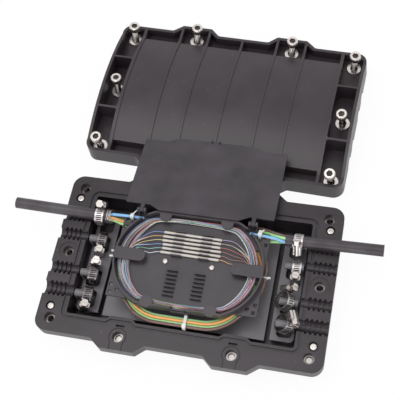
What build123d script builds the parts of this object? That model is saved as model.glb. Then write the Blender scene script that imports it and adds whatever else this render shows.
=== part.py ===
from build123d import *
import math
import os

# Horizontal fibre splice closure, opened out on a bench. Millimetres, +Z up.
# The origin is on the bench under the middle of the base; +X runs along the
# base towards the right-hand cable, +Y runs back towards the cover.

# Base and cover outline, shared so that the two halves close on each other
body_length = 240.0
body_width = 144.0
corner_radius = 10.0
bulge_step = 7.0
bulge_reach = body_width / 2 + bulge_step
bulge_inner_foot = 24.0
bulge_inner_top = 32.0
bulge_outer_top = 61.0
bulge_outer_foot = 70.0
base_height = 28.3
flange_height = 11.0

# Closing bolts: six at the corners and ends, four in the bulges
bolt_end_setback = 12.0
bolt_corner_setback = 11.5
bolt_bulge_setback = 11.1
bolt_bulge_shift = 0.5
bolt_end_x = body_length / 2 - bolt_end_setback
bolt_corner_y = body_width / 2 - bolt_corner_setback
bolt_bulge_x = (bulge_inner_top + bulge_outer_top) / 2 + bolt_bulge_shift
bolt_bulge_y = bulge_reach - bolt_bulge_setback
bolt_diameter = 6.0
bolt_length = 25.0
bolt_head_diameter = 10.0
bolt_head_height = 6.0
bolt_socket_flats = 5.0
bolt_socket_depth = 3.2
bolt_hole_diameter = 7.4
washer_diameter = 13.0
washer_thickness = 1.6
washer_bore = 7.0

# Tub
tub_wall = 3.2
tub_floor = 3.0
cavity_end_wall = 25.0
cavity_side_wall = 17.7
cavity_length = body_length - 2 * cavity_end_wall
cavity_width = body_width - 2 * cavity_side_wall
cavity_corner_radius = 2.0
cavity_jog = 3.1
rail_width = 2.6
seal_groove_width = 2.2
seal_groove_depth = 1.2
skirt_wall = 2.6
skirt_pocket_half = 12.0
skirt_pocket_inner_x = 14.0
skirt_pocket_end_gap = 27.0
deck_thickness = 4.0
insert_hole_diameter = 9.2
insert_bore = 5.6
insert_setback = 4.0
insert_clearance = 0.02
end_ring_diameter = 16.0
end_ring_depth = 0.6

# Small screws beside the corner bolts
corner_screw_x = body_length / 2 - 10.0
corner_screw_y = bolt_corner_y - 10.1
corner_screw_head = 6.4
corner_screw_head_height = 1.9
corner_screw_cross = (3.4, 0.9, 1.0)
corner_screw_recess = 8.0
corner_recess_depth = 2.4
corner_screw_shank = 4.0
corner_screw_length = 8.0

# Cable ports: two large and two small at each end, cut half into each shell
port_outer_y = 34.75
port_inner_y = 15.75
port_outer_bore = 5.0
port_inner_bore = 3.9
port_outer_slot = 6.4
port_inner_slot = 5.5
port_slot_first_x = body_length / 2 - 18.0
port_slot_pitch = 4.0
port_slot_count = 4
port_slot_width = 2.0
port_mouth_depth = 2.5
port_mouth_step = 0.4

# Clamp plates, with an arched tongue in front of each port to clamp a cable on
plate_drop = 15.0
plate_thickness = 2.5
plate_end_gap = 2.2
plate_side_gap = 8.3
plate_length = 19.6
plate_outer_x = cavity_length / 2 - plate_end_gap
plate_inner_x = plate_outer_x - plate_length
plate_half_width = cavity_width / 2 - plate_side_gap
plate_corner_radius = 4.0
saddle_outer_radius = 3.2
saddle_wall = 1.1
saddle_drop = 0.45
saddle_length = 15.4
saddle_tip_x = plate_outer_x - saddle_length
saddle_upright = 1.6
plate_opening_margin = 2.2
plate_opening_length = 12.6
plate_opening_outer_x = plate_outer_x - plate_opening_margin
plate_opening_inner_x = plate_opening_outer_x - plate_opening_length
plate_opening_width = 15.5
plate_rest_width = 3.0
platform_boss_radius = 4.0
platform_boss_y = 36.0
platform_boss_setback = 14.0
seat_clearance = 0.02

# Storage platform with the two posts that carry the splice tray
platform_end_gap = 4.2
platform_side_gap = 6.8
platform_half_length = plate_inner_x - platform_end_gap
platform_half_width = cavity_width / 2 - platform_side_gap
post_radius = 4.0
tray_screw_x = 19.8
tray_screw_head = 4.8
tray_screw_head_height = 1.8
tray_screw_cross = 3.0
tray_screw_cross_width = 0.9
tray_screw_cross_depth = 1.0
tray_screw_shank = 2.6
tray_screw_length = 9.0

# Splice tray
tray_center_x = -0.8
tray_half_length = 63.2
tray_half_width = 36.3
tray_bulge_half_width = 41.6
tray_bulge_flat = 34.0
tray_bulge_foot = 43.0
tray_lift = 5.0
tray_floor = 2.0
tray_wall = 1.6
tray_wall_height = 7.0
tray_oval_center = 18.0
tongue_length = 27.0
tongue_width = 10.4
tongue_end_radius = 4.6
floor_slot_inset = 2.2
floor_slot_width = 3.6
floor_slot_near_y = 7.5
floor_slot_far_y = 21.0
tongue_thickness = 1.5
tab_x = 26.5
tab_radius = 5.2
tab_reach = 8.3
sleeve_pitch = 3.6
sleeve_rows = 6
sleeve_diameter = 2.6
sleeve_length = 50.0
sleeve_row_y = 16.2
spare_row_y = -18.6
fin_x = 11.7
fin_length = 9.0
fin_thickness = 0.85
fin_height = 3.6
tie_slot_side = 3.0
tie_slot_places = ((54.6, 30.6), (60.4, 26.4), (60.0, 33.0))

# Tray lid and its hinge
lid_thickness = 1.2
lid_half_length = 64.0
lid_shift_x = 0.8
lid_half_width = 35.0
lid_bulge_half_width = 39.6
lid_setback = 5.6
lid_hinge_y = 40.4
lid_hinge_rise = 1.2
lid_offset = 0.5
lid_open_slope = 9.9
hinge_x = 48.0
hinge_pin_radius = 1.0
hinge_clearance = 0.05
hinge_barrel_radius = 1.9
hinge_barrel_width = 3.4
hinge_ear_width = 1.8
hinge_side_gap = 0.3
hinge_arm_length = 6.5
latch_hook_x = 3.4
latch_hook_width = 1.6

# Cables, buffer tubes and ties
cable_diameter = 9.7
cable_left_inner_x = -(saddle_tip_x + 0.2)
cable_left_outer_x = -(body_length / 2 + 43.0)
cable_left_rise = 0.033
cable_right_inner_x = saddle_tip_x - 2.2
cable_right_outer_x = body_length / 2 + 35.0
cable_right_rise = 0.063
cable_seat_clearance = 0.03
cable_bore = 7.5
cable_bore_depth = 10.0
tube_diameter = 2.5
tube_bundle_radius = 2.3
tube_entry = 6.0
tube_on_tray = 1.35
tube_end_x = 45.9
blue_left_angle = 60.0
blue_left_y = 35.4
blue_right_angle = 165.0
blue_right_y = 34.4
tube_gate_half = 1.8
coil_front_side = 44.9
coil_back_side = 31.0
coil_low_back_side = 37.0
coil_short_side = 57.0
coil_mark = 32.0
coil_flank = 17.0
coil_entry_y = 29.6
coil_pitch = 2.1
coil_nest = 1.7
coil_level = 0.9
coil_drop = 4.6
tie_thickness = 0.8
tie_width = 2.4
front_tie_x = 5.7
tray_tie_left = (-57.0, 33.9)
tray_tie_right = (53.6, 32.5)
tray_tie_reach = 0.8
wire_setbacks = (3.0, 1.6)
wire_diameter = 0.7
fibre_bed_thickness = 1.6
fibre_bed_inset = 2.0
fibre_bed_width = 9.0
fibre_fan_thickness = 1.2

# Worm-drive clamps
band_thickness = 0.7
band_width = 7.5
clamp_play = 0.07
housing_length = 8.0
housing_width = 8.4
housing_height = 4.6
worm_diameter = 5.2
worm_length = 11.0
worm_head_diameter = 6.8
worm_head_height = 3.4

# Cover, lying top side up on the bench behind the base
cover_x = -2.17
cover_gap = 27.26
cover_y = body_width + cover_gap
cover_yaw = -2.33
cover_edge_height = 18.0
cover_crest_height = 29.0
cover_arch_setback = 12.0
cover_arch_foot_y = body_width / 2 - cover_arch_setback
cover_flange = 7.7
cover_wall = 2.8
cover_draft = 3.0
vault_end_setback = 22.0
vault_side_setback = 14.6
vault_half_length = body_length / 2 - vault_end_setback
vault_half_width = body_width / 2 - vault_side_setback
vault_skin = 2.6
vault_recess = 0.9
rib_positions = (-60.5, -33.5, 0.0, 33.5, 60.5)
rib_thickness = 2.4
end_rib_thickness = 3.0
pocket_rib_y = 28.0
pocket_rib_thickness = 2.0
rib_post_radius = 2.0

rim = base_height
cavity_depth = base_height - tub_floor
plate_top = rim - plate_drop
tray_bottom = rim + tray_lift
tray_top = tray_bottom + tray_floor
wall_top = tray_top + tray_wall_height
hinge_z = wall_top + lid_hinge_rise
cover_place = Location((cover_x, cover_y, 0), (0, 0, cover_yaw))
cable_radius = cable_diameter / 2
saddle_inner_radius = saddle_outer_radius - saddle_wall
saddle_axis = rim - saddle_drop - saddle_outer_radius
cable_lift = cable_radius - saddle_drop + cable_seat_clearance
tube_radius = tube_diameter / 2
ports = (
    (port_outer_y, port_outer_bore, port_outer_slot),
    (port_inner_y, port_inner_bore, port_inner_slot),
    (-port_inner_y, port_inner_bore, port_inner_slot),
    (-port_outer_y, port_outer_bore, port_outer_slot),
)
bolt_places = [
    (sx * bolt_end_x, sy * bolt_corner_y) for sx in (-1, 1) for sy in (-1, 0, 1)
] + [(sx * bolt_bulge_x, sy * bolt_bulge_y) for sx in (-1, 1) for sy in (-1, 1)]

os.makedirs("parts", exist_ok=True)


def save(name, shape):
    """Write one node to its own STEP file."""
    export_step(shape, f"parts/{name}.step")


def box(x0, x1, y0, y1, z0, z1):
    """Box between two opposite corners."""
    middle = Pos((x0 + x1) / 2, (y0 + y1) / 2, (z0 + z1) / 2)
    return middle * Box(x1 - x0, y1 - y0, z1 - z0)


def upright(radius, x, y, z0, z1):
    """Vertical cylinder."""
    return Pos(x, y, (z0 + z1) / 2) * Cylinder(radius, z1 - z0)


def along_x(radius, x0, x1, y, z):
    """Cylinder along X."""
    return Pos((x0 + x1) / 2, y, z) * Rot(0, 90, 0) * Cylinder(radius, x1 - x0)


def body_outline(shrink=0.0):
    """Outline that the base flange and the cover share."""
    marks = (
        (bulge_inner_foot + shrink / 2, bulge_inner_top + shrink / 2),
        (bulge_outer_foot - shrink / 2, bulge_outer_top - shrink / 2),
    )
    points = [(marks[0][0], 0), (marks[0][1], 1), (marks[1][1], 1), (marks[1][0], 0)]
    half_width = body_width / 2 - shrink
    reach = bulge_reach - shrink
    side = [(x, reach if step else half_width) for x, step in points]
    half_length = body_length / 2 - shrink
    back = [(half_length, half_width)] + side[::-1] + [(-x, y) for x, y in side]
    back += [(-half_length, half_width)]
    outline = back + [(-x, -y) for x, y in back]
    radii = [
        corner_radius - shrink if abs(x) == half_length else 3.0 for x, y in outline
    ]
    return make_face(FilletPolyline(*outline, radius=radii, close=True))


def cavity_outline(grow=0.0):
    """Cavity with its long walls stepped in beside each bulge bolt."""
    half_length = cavity_length / 2 + grow
    half_width = cavity_width / 2 + grow
    inner = half_width - cavity_jog
    marks = ((35.0, half_width), (38.5, inner), (56.5, inner), (60.5, half_width))
    back = [(half_length, half_width)] + list(marks[::-1])
    back += [(-x, y) for x, y in marks] + [(-half_length, half_width)]
    outline = back + [(-x, -y) for x, y in back]
    radii = [
        cavity_corner_radius + grow if abs(x) == half_length else 1.0
        for x, y in outline
    ]
    return make_face(FilletPolyline(*outline, radius=radii, close=True))


def seal_groove():
    """Ring-shaped groove around the cavity, open where the ports cross it."""
    ring = cavity_outline(rail_width + seal_groove_width) - cavity_outline(rail_width)
    return extrude(ring, seal_groove_depth)


def port_cutter(slot_limit):
    """Ribbed bores of all eight ports, as full rounds about Z = 0."""
    inner = cavity_length / 2 - 1
    outer = body_length / 2 + 1
    mouth = body_length / 2 - port_mouth_depth
    half = port_slot_width / 2
    cutter = None
    for side in (-1, 1):
        for y, bore, slot in ports:
            reach = min(slot, slot_limit)
            tool = along_x(bore, *sorted((side * inner, side * outer)), y, 0)
            wide = sorted((side * mouth, side * outer))
            tool += along_x(reach - port_mouth_step, *wide, y, 0)
            for number in range(port_slot_count):
                x = side * (port_slot_first_x + number * port_slot_pitch)
                tool += along_x(reach, x - half, x + half, y, 0)
            cutter = tool if cutter is None else cutter + tool
    return cutter


def build_base_shell():
    """Tub, flange, bulges, ribbed ports, seal groove and inner bosses."""
    flange = Pos(0, 0, rim - flange_height) * extrude(body_outline(), flange_height)
    tub_face = RectangleRounded(
        cavity_length + 2 * tub_wall, cavity_width + 2 * tub_wall, 6.0
    )
    tub = extrude(tub_face, rim - flange_height)
    shell = flange + tub
    shell -= Pos(0, 0, tub_floor) * extrude(cavity_outline(), cavity_depth)
    shell -= Pos(0, 0, rim - seal_groove_depth) * seal_groove()
    shell -= Pos(0, 0, rim) * port_cutter(port_outer_slot)
    # Pockets under the long flanges, between the tub and the skirt
    pocket_in = cavity_width / 2 + tub_wall
    pocket_out = body_width / 2 - skirt_wall
    pocket_outer_x = body_length / 2 - skirt_pocket_end_gap - skirt_pocket_half
    for middle in (-pocket_outer_x, -skirt_pocket_inner_x, skirt_pocket_inner_x, pocket_outer_x):
        for side in (-1, 1):
            y0, y1 = sorted((side * pocket_in, side * pocket_out))
            shell -= box(
                middle - skirt_pocket_half,
                middle + skirt_pocket_half,
                y0,
                y1,
                rim - flange_height - 1,
                rim - deck_thickness,
            )
    for x, y in bolt_places:
        shell -= upright(insert_hole_diameter / 2, x, y, 0, rim + 1)
        if y == 0:
            ring = upright(end_ring_diameter / 2, x, y, rim - end_ring_depth, rim + 1)
            shell -= ring
    for sx in (-1, 1):
        for sy in (-1, 1):
            shell -= boss_mark(sx, sy)
            shell -= upright(
                corner_screw_recess / 2,
                sx * corner_screw_x,
                sy * corner_screw_y,
                rim - corner_recess_depth,
                rim + 1,
            )
            shell -= upright(
                corner_screw_shank / 2,
                sx * corner_screw_x,
                sy * corner_screw_y,
                rim - corner_recess_depth - corner_screw_length - 0.5,
                rim,
            )
    # Ledges that carry the clamp plates, and bosses for the platform
    rest_top = plate_top - plate_thickness - seat_clearance
    for sx in (-1, 1):
        for first in (plate_inner_x + 0.8, cavity_length / 2 - plate_rest_width):
            x0, x1 = sorted((sx * first, sx * (first + plate_rest_width + 0.2)))
            reach = plate_half_width - 3
            shell += box(x0, x1, -reach, reach, tub_floor / 2, rest_top)
        for y in (-platform_boss_y, platform_boss_y):
            x = sx * (platform_half_length - platform_boss_setback)
            shell += upright(platform_boss_radius, x, y, tub_floor / 2, rest_top)
    return shell


def boss_mark(sx, sy):
    """Shallow groove around a bulge bolt, open towards the outer edge."""
    x = sx * bolt_bulge_x
    y = sy * bolt_bulge_y
    edge = sy * (bulge_reach + 1)
    y0, y1 = sorted((y, edge))
    depth = rim - 0.7
    outer = upright(7.6, x, y, depth, rim + 1) + box(
        x - 5.7, x + 5.7, y0, y1, depth, rim + 1
    )
    inner = upright(6.7, x, y, depth, rim + 1) + box(
        x - 4.85, x + 4.85, y0 - 1, y1 + 1, depth, rim + 1
    )
    slot_y = sy * (bolt_bulge_y - 9.2)
    slot = box(x - 3.6, x + 3.6, slot_y - 0.9, slot_y + 0.9, rim - 3, rim + 1)
    return (outer - inner) + slot


def build_inserts():
    """Ten threaded inserts moulded into the flange."""
    top = rim - insert_setback
    low = rim - flange_height
    radius = insert_hole_diameter / 2 - insert_clearance
    inserts = []
    for x, y in bolt_places:
        inserts.append(
            upright(radius, x, y, low, top) - upright(insert_bore / 2, x, y, low, top)
        )
    return Compound(children=inserts)


def socket_screw(shank, length, head, head_height, flats, socket_depth):
    """Cap screw standing on its tip at the origin."""
    body = upright(shank / 2, 0, 0, 0, length + 0.5)
    cap = upright(head / 2, 0, 0, length, length + head_height)
    cap = chamfer(cap.edges().group_by(Axis.Z)[-1], 0.5)
    socket = extrude(RegularPolygon(flats / 2, 6, major_radius=False), socket_depth)
    return body + cap - Pos(0, 0, length + head_height - socket_depth) * socket


def domed_screw(shank, length, head, head_height, cross):
    """Pan-head screw with a cross recess, standing on its tip at the origin."""
    reach, width, depth = cross
    cap = Cylinder(head / 2, head_height)
    cap = fillet(cap.edges().group_by(Axis.Z)[-1], head_height * 0.75)
    cap = Pos(0, 0, length + head_height / 2) * cap
    recess = Box(reach, width, 2 * depth) + Box(width, reach, 2 * depth)
    cap -= Pos(0, 0, length + head_height) * recess
    return cap + upright(shank / 2, 0, 0, 0, length + 0.3)


def build_corner_screws():
    """Four pan-head screws in the corner recesses."""
    tip = rim - corner_recess_depth - corner_screw_length + 0.02
    screws = []
    for sx in (-1, 1):
        for sy in (-1, 1):
            screw = domed_screw(
                corner_screw_shank - 0.04,
                corner_screw_length,
                corner_screw_head,
                corner_screw_head_height,
                corner_screw_cross,
            )
            place = Pos(sx * corner_screw_x, sy * corner_screw_y, tip)
            screws.append(place * screw)
    return Compound(children=screws)


def build_clamp_plate(side):
    """Plate with four arched cable tongues and an opening under each."""
    middle = (plate_inner_x + plate_outer_x) / 2
    width = plate_outer_x - plate_inner_x
    blank = Rectangle(width, 2 * plate_half_width)
    outer = blank.vertices().group_by(Axis.X)[-1]
    blank = fillet(outer, plate_corner_radius)
    for y, bore, slot in ports:
        hole = RectangleRounded(
            plate_opening_outer_x - plate_opening_inner_x, plate_opening_width, 3.5
        )
        hole_x = (plate_opening_inner_x + plate_opening_outer_x) / 2
        blank -= Pos(hole_x - middle, y) * hole
    plate = Pos(middle, 0, plate_top - plate_thickness) * extrude(
        blank, plate_thickness
    )
    for y, bore, slot in ports:
        tongue = along_x(saddle_outer_radius, saddle_tip_x, plate_outer_x, y, saddle_axis)
        foot_x = plate_outer_x - saddle_upright
        tongue -= along_x(saddle_inner_radius, saddle_tip_x - 1, foot_x, y, saddle_axis)
        low = saddle_axis - 2 * saddle_outer_radius
        tongue -= box(saddle_tip_x - 1, foot_x, y - 5, y + 5, low, saddle_axis)
        tongue += box(
            foot_x,
            plate_outer_x,
            y - saddle_outer_radius,
            y + saddle_outer_radius,
            plate_top - plate_thickness / 2,
            saddle_axis,
        )
        plate += tongue
    if side < 0:
        plate = Rot(0, 0, 180) * plate
    return plate


def build_platform():
    """Storage platform with two hollow posts for the tray screws."""
    top = plate_top
    deck = box(
        -platform_half_length,
        platform_half_length,
        -platform_half_width,
        platform_half_width,
        top - plate_thickness,
        top,
    )
    for sx in (-1, 1):
        x = tray_center_x + sx * tray_screw_x
        deck += upright(post_radius, x, 0, top - 0.5, tray_bottom - seat_clearance)
        deck -= upright(tray_screw_shank / 2, x, 0, tray_bottom - 12, tray_bottom + 1)
    return deck


def tray_outline(half_width, bulge, half_length, radius):
    """Tray or lid outline, with its long sides stepped out in the middle."""
    marks = ((tray_bulge_flat, bulge), (tray_bulge_foot, half_width))
    back = [(half_length, half_width)] + list(marks[::-1])
    back += [(-x, y) for x, y in marks] + [(-half_length, half_width)]
    outline = back + [(-x, -y) for x, y in back]
    return make_face(FilletPolyline(*outline, radius=radius, close=True))


def oval(inset):
    """Routing oval: two end arcs joined by straight long sides."""
    radius = tray_half_length - tray_oval_center - inset
    side = tray_bulge_half_width - inset
    corner = tray_oval_center + math.sqrt(radius**2 - side**2)
    end = tray_oval_center + radius
    right = ThreePointArc((corner, side), (end, 0), (corner, -side))
    left = ThreePointArc((-corner, -side), (-end, 0), (-corner, side))
    top = Line((-corner, side), (corner, side))
    bottom = Line((corner, -side), (-corner, -side))
    return make_face(Curve() + [top, right, bottom, left])


def fin_rows(row_y):
    """Y positions of the comb fins on both sides of every sleeve row."""
    first = row_y - sleeve_rows * sleeve_pitch / 2
    return [first + number * sleeve_pitch for number in range(sleeve_rows + 1)]


def build_tray():
    """Splice tray moulding: floor, routing oval, retainers, combs and ears."""
    floor_face = tray_outline(
        tray_half_width, tray_bulge_half_width, tray_half_length, 0.8
    )
    tray = extrude(floor_face, tray_floor)
    wall = oval(0) - oval(tray_wall)
    tray += Pos(0, 0, tray_floor - 0.5) * extrude(wall, tray_wall_height + 0.5)
    height = tray_floor + tray_wall_height
    for side in (-1, 1):
        x0, x1 = sorted(
            (side * (tray_half_length - 0.8), side * (tray_half_length - tongue_length))
        )
        tongue = Pos((x0 + x1) / 2, 0) * RectangleRounded(
            x1 - x0, tongue_width, tongue_end_radius
        )
        tray += Pos(0, 0, height - tongue_thickness) * extrude(tongue, tongue_thickness)
        square = box(
            min(side * (tray_half_length - 0.8), side * (tray_half_length - 6)),
            max(side * (tray_half_length - 0.8), side * (tray_half_length - 6)),
            -tongue_width / 2,
            tongue_width / 2,
            height - tongue_thickness,
            height,
        )
        tray += square
        for back in (-1, 1):
            tab_y = back * (tray_bulge_half_width - tab_reach + tab_radius)
            tab = Pos(side * tab_x, tab_y) * Circle(tab_radius)
            far = back * (tray_bulge_half_width - 0.5)
            y0, y1 = sorted((tab_y, far))
            tab += Pos(side * tab_x, (y0 + y1) / 2) * Rectangle(
                2 * tab_radius, y1 - y0
            )
            tray += Pos(0, 0, height - tongue_thickness) * extrude(
                tab, tongue_thickness
            )
        for row_y in (sleeve_row_y, spare_row_y):
            for y in fin_rows(row_y):
                tray += box(
                    side * fin_x - fin_length / 2,
                    side * fin_x + fin_length / 2,
                    y - fin_thickness / 2,
                    y + fin_thickness / 2,
                    tray_floor - 0.3,
                    tray_floor + fin_height,
                )
        tray -= upright(
            tray_screw_shank / 2 + 0.1, side * tray_screw_x, 0, -1, tray_floor + 1
        )
        for back in (-1, 1):
            for x, y in tie_slot_places:
                tray -= box(
                    side * x - tie_slot_side / 2,
                    side * x + tie_slot_side / 2,
                    back * y - tie_slot_side / 2,
                    back * y + tie_slot_side / 2,
                    -1,
                    tray_floor + 1,
                )
        tray += build_hinge_ears(side)
        tray -= tray_cuts(side)
    # Notch for the lid's two hooks, with the catch ledge in front of it
    front = -tray_bulge_half_width
    tray -= box(-6.0, 6.0, front - 1, front + 3, height - 3.5, height + 1)
    tray += box(-6.7, 8.0, front - 0.8, front + 0.5, 0, tray_floor + 1.5)
    return Pos(tray_center_x, 0, tray_bottom) * tray


def tray_cuts(side):
    """Gate and tie slot for the blue tube, and the slots beside the tongue."""
    high = tray_floor + tray_wall_height + 1
    gate_y = blue_left_y if side < 0 else blue_right_y
    x0, x1 = sorted((side * (tube_end_x - 5), side * (tube_end_x + 8)))
    cuts = box(x0, x1, gate_y - tube_gate_half, gate_y + tube_gate_half, tray_floor, high)
    tie_x, tie_y = tray_tie_left if side < 0 else tray_tie_right
    x = tie_x - tray_center_x
    half = tie_width / 2 + 0.4
    cuts += box(x - half, x + half, tie_y - tie_thickness - 0.3, tie_y + 0.2, -1, tray_floor + 1)
    crescent = oval(floor_slot_inset) - oval(floor_slot_inset + floor_slot_width)
    for back in (-1, 1):
        x0, x1 = sorted((side * tray_oval_center, side * tray_half_length))
        y0, y1 = sorted((back * floor_slot_near_y, back * floor_slot_far_y))
        window = Pos((x0 + x1) / 2, (y0 + y1) / 2) * Rectangle(x1 - x0, y1 - y0)
        cuts += Pos(0, 0, -1) * extrude(crescent & window, tray_floor + 1.4)
    return cuts


def build_hinge_ears(side):
    """Pair of ears with the moulded pin that the lid swings on."""
    axis_z = hinge_z - tray_bottom
    ears = None
    inner = hinge_barrel_width / 2 + hinge_side_gap
    for step in (-1, 1):
        x0, x1 = sorted(
            (
                side * hinge_x + step * inner,
                side * hinge_x + step * (inner + hinge_ear_width),
            )
        )
        ear = box(x0, x1, tray_half_width + 0.7, lid_hinge_y + 1.9, 0, axis_z)
        ear += along_x(1.9, x0, x1, lid_hinge_y, axis_z)
        ear -= box(x0 - 1, x1 + 1, tray_half_width - 5, lid_hinge_y - 1.9, 4, 20)
        ears = ear if ears is None else ears + ear
    base = inner + hinge_ear_width
    ears += box(
        side * hinge_x - base,
        side * hinge_x + base,
        tray_half_width - 1,
        lid_hinge_y + 1.9,
        0,
        tray_floor,
    )
    ears += along_x(
        hinge_pin_radius, side * hinge_x - inner - 0.5, side * hinge_x + inner + 0.5,
        lid_hinge_y, axis_z,
    )
    return ears


def build_tray_screws():
    """Two pan-head screws that hold the tray on its posts."""
    screw = domed_screw(
        tray_screw_shank - 0.04,
        tray_screw_length,
        tray_screw_head,
        tray_screw_head_height,
        (tray_screw_cross, tray_screw_cross_width, tray_screw_cross_depth),
    )
    height = tray_top + 0.02 - tray_screw_length
    places = [Pos(tray_center_x + sx * tray_screw_x, 0, height) for sx in (-1, 1)]
    return Compound(children=[place * screw for place in places])


def build_lid():
    """Tray lid, modelled flat about its hinge axis, then laid open."""
    near = lid_setback
    center = near + lid_half_width
    plate = extrude(
        tray_outline(lid_half_width, lid_bulge_half_width, lid_half_length, 0.8),
        lid_thickness,
    )
    plate = Pos(lid_shift_x, center, lid_offset - lid_thickness / 2) * plate
    for side in (-1, 1):
        barrel = along_x(
            hinge_barrel_radius,
            side * hinge_x - hinge_barrel_width / 2,
            side * hinge_x + hinge_barrel_width / 2,
            0,
            0,
        )
        arm = box(
            side * hinge_x - hinge_barrel_width / 2,
            side * hinge_x + hinge_barrel_width / 2,
            0,
            hinge_arm_length,
            lid_offset - lid_thickness / 2,
            lid_offset + lid_thickness / 2 + 0.2,
        )
        knuckle = barrel + arm
        knuckle -= along_x(
            hinge_pin_radius + hinge_clearance,
            side * hinge_x - hinge_barrel_width,
            side * hinge_x + hinge_barrel_width,
            0,
            0,
        )
        plate += knuckle
    far = center + lid_bulge_half_width
    for side in (-1, 1):
        x = side * latch_hook_x
        plate += box(
            x - latch_hook_width / 2,
            x + latch_hook_width / 2,
            far - 0.8,
            far + 1.2,
            lid_offset - lid_thickness / 2,
            lid_offset + 2.2,
        )
    place = Pos(tray_center_x, lid_hinge_y, hinge_z)
    return place * Rot(-lid_open_slope, 0, 0) * plate


def build_sleeves():
    """Six splice protection sleeves lying in the upper comb."""
    rows = fin_rows(sleeve_row_y)
    z = tray_top + sleeve_diameter / 2 + 0.02
    sleeves = []
    for low, high in zip(rows, rows[1:]):
        sleeves.append(
            along_x(
                sleeve_diameter / 2,
                tray_center_x - sleeve_length / 2,
                tray_center_x + sleeve_length / 2,
                (low + high) / 2,
                z,
            )
        )
    return Compound(children=sleeves)


def cable_axis(side, x):
    """Height of a cable's axis; it lies on its saddle's tip and climbs outwards."""
    rise = cable_left_rise if side < 0 else cable_right_rise
    return rim + cable_lift + (abs(x) - saddle_tip_x) * rise


def build_cable(side, inner_x, outer_x):
    """Cable stub with its jacket hollow where the buffer tubes come out."""
    start = Vector(inner_x, port_outer_y, cable_axis(side, inner_x))
    end = Vector(outer_x, port_outer_y, cable_axis(side, outer_x))
    path = Line(start, end)
    plane = Plane(origin=start, z_dir=path % 0)
    length = (end - start).length
    cable = plane * extrude(Circle(cable_radius), length)
    return cable - plane * extrude(Circle(cable_bore / 2), cable_bore_depth)


def tube_path(points):
    """Straight runs joined by tangent arcs as wide as the runs allow."""
    points = [Vector(*point) for point in points]
    edges = []
    last = points[0]
    radii = []
    for before, corner, after in zip(points, points[1:], points[2:]):
        into = (corner - before).normalized()
        out = (after - corner).normalized()
        half_turn = math.radians(into.get_angle(out)) / 2
        run = min((corner - before).length, (after - corner).length)
        tangent = 0.45 * run
        radius = tangent / math.tan(half_turn)
        radii.append(round(radius, 1))
        first = corner - into * tangent
        second = corner + out * tangent
        inward = (out - into).normalized()
        middle = corner + inward * (radius / math.cos(half_turn) - radius)
        edges += [Line(last, first), ThreePointArc(first, middle, second)]
        last = second
    edges.append(Line(last, points[-1]))
    print("arc radii", radii)
    return Wire(edges)


def build_tube(points):
    """Round buffer tube along a smooth route."""
    path = tube_path(points)
    section = Plane(origin=path @ 0, z_dir=path % 0) * Circle(tube_diameter / 2)
    return sweep(section, path=path)


def bundle_point(side, angle):
    """Start of a tube inside the mouth of a cable."""
    mouth = cable_left_inner_x if side < 0 else cable_right_inner_x
    x = mouth + side * tube_entry
    y = port_outer_y + tube_bundle_radius * math.cos(math.radians(angle))
    z = cable_axis(side, mouth) + tube_bundle_radius * math.sin(math.radians(angle))
    return x, y, z


def build_blue_tube(side):
    """Tube that climbs on to the tray and ends at the gate of the oval."""
    start = bundle_point(side, blue_left_angle if side < 0 else blue_right_angle)
    end_y = blue_left_y if side < 0 else blue_right_y
    level = tray_top + tube_on_tray
    points = (
        start,
        (side * 73.5, start[1], start[2] + 0.2),
        (side * 65.0, start[1] + 0.45 * (end_y - start[1]), level),
        (side * 55.5, start[1] + 0.75 * (end_y - start[1]), level),
        (tray_center_x + side * tube_end_x, end_y, level),
    )
    return build_tube(points)


# Coiled tubes: row in the nested bundle, angles in the mouths of the left and
# right cable, and the points by which each leaves the coil for the right cable
coiled_tubes = {
    "green_tube_inner": (
        0, 204, 237, ((46.0, 34.5, -1.0), (60.0, 32.0, 1.6), (70.0, 33.3, 2.5)),
    ),
    "orange_tube": (
        1, 132, 309, ((46.0, 37.0, 0.6), (60.0, 34.3, 2.9), (70.0, 35.8, 2.7)),
    ),
    "green_tube_outer": (
        2, 276, 93, ((46.0, 41.0, -0.4), (57.0, 39.5, 3.0), (68.5, 35.8, 6.0)),
    ),
    "brown_tube": (
        3, 348, 21, ((46.0, 43.6, 0.6), (57.0, 42.1, 3.2), (68.5, 38.4, 5.1)),
    ),
}


def build_coiled_tube(row, left_angle, right_angle, exits):
    """Spare length of tube coiled once and a half below the tray."""
    high = rim + coil_level + coil_nest * (row % 2)
    low = high - coil_drop
    out = row * coil_pitch
    mark = coil_mark + 0.42 * out
    flank = coil_flank + 0.42 * out
    side = coil_short_side + out
    front = coil_front_side + out
    back = coil_back_side + out
    low_back = coil_low_back_side + out
    first = bundle_point(-1, left_angle)
    last = bundle_point(1, right_angle)
    points = (
        first,
        (-74.0, first[1] - 0.3, first[2] - 0.3),
        (-63.5, coil_entry_y + out, high + 0.1),
        (-48.0, coil_entry_y + out - 0.4, high),
        (-mark, back, high),
        (0.0, back + 0.4, high),
        (mark, back, high),
        (side, flank, high),
        (side, -flank, high - 0.1),
        (mark, -front, high),
        (0.0, -front - 0.2, high),
        (-mark, -front, high - 0.2),
        (-side, -flank, high - coil_drop / 2),
        (-side, flank, low),
        (-mark, low_back, low - 0.1),
        (mark, low_back + 0.1, low),
        *[(x, y, rim + z) for x, y, z in exits],
        last,
    )
    return build_tube(points)


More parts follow.
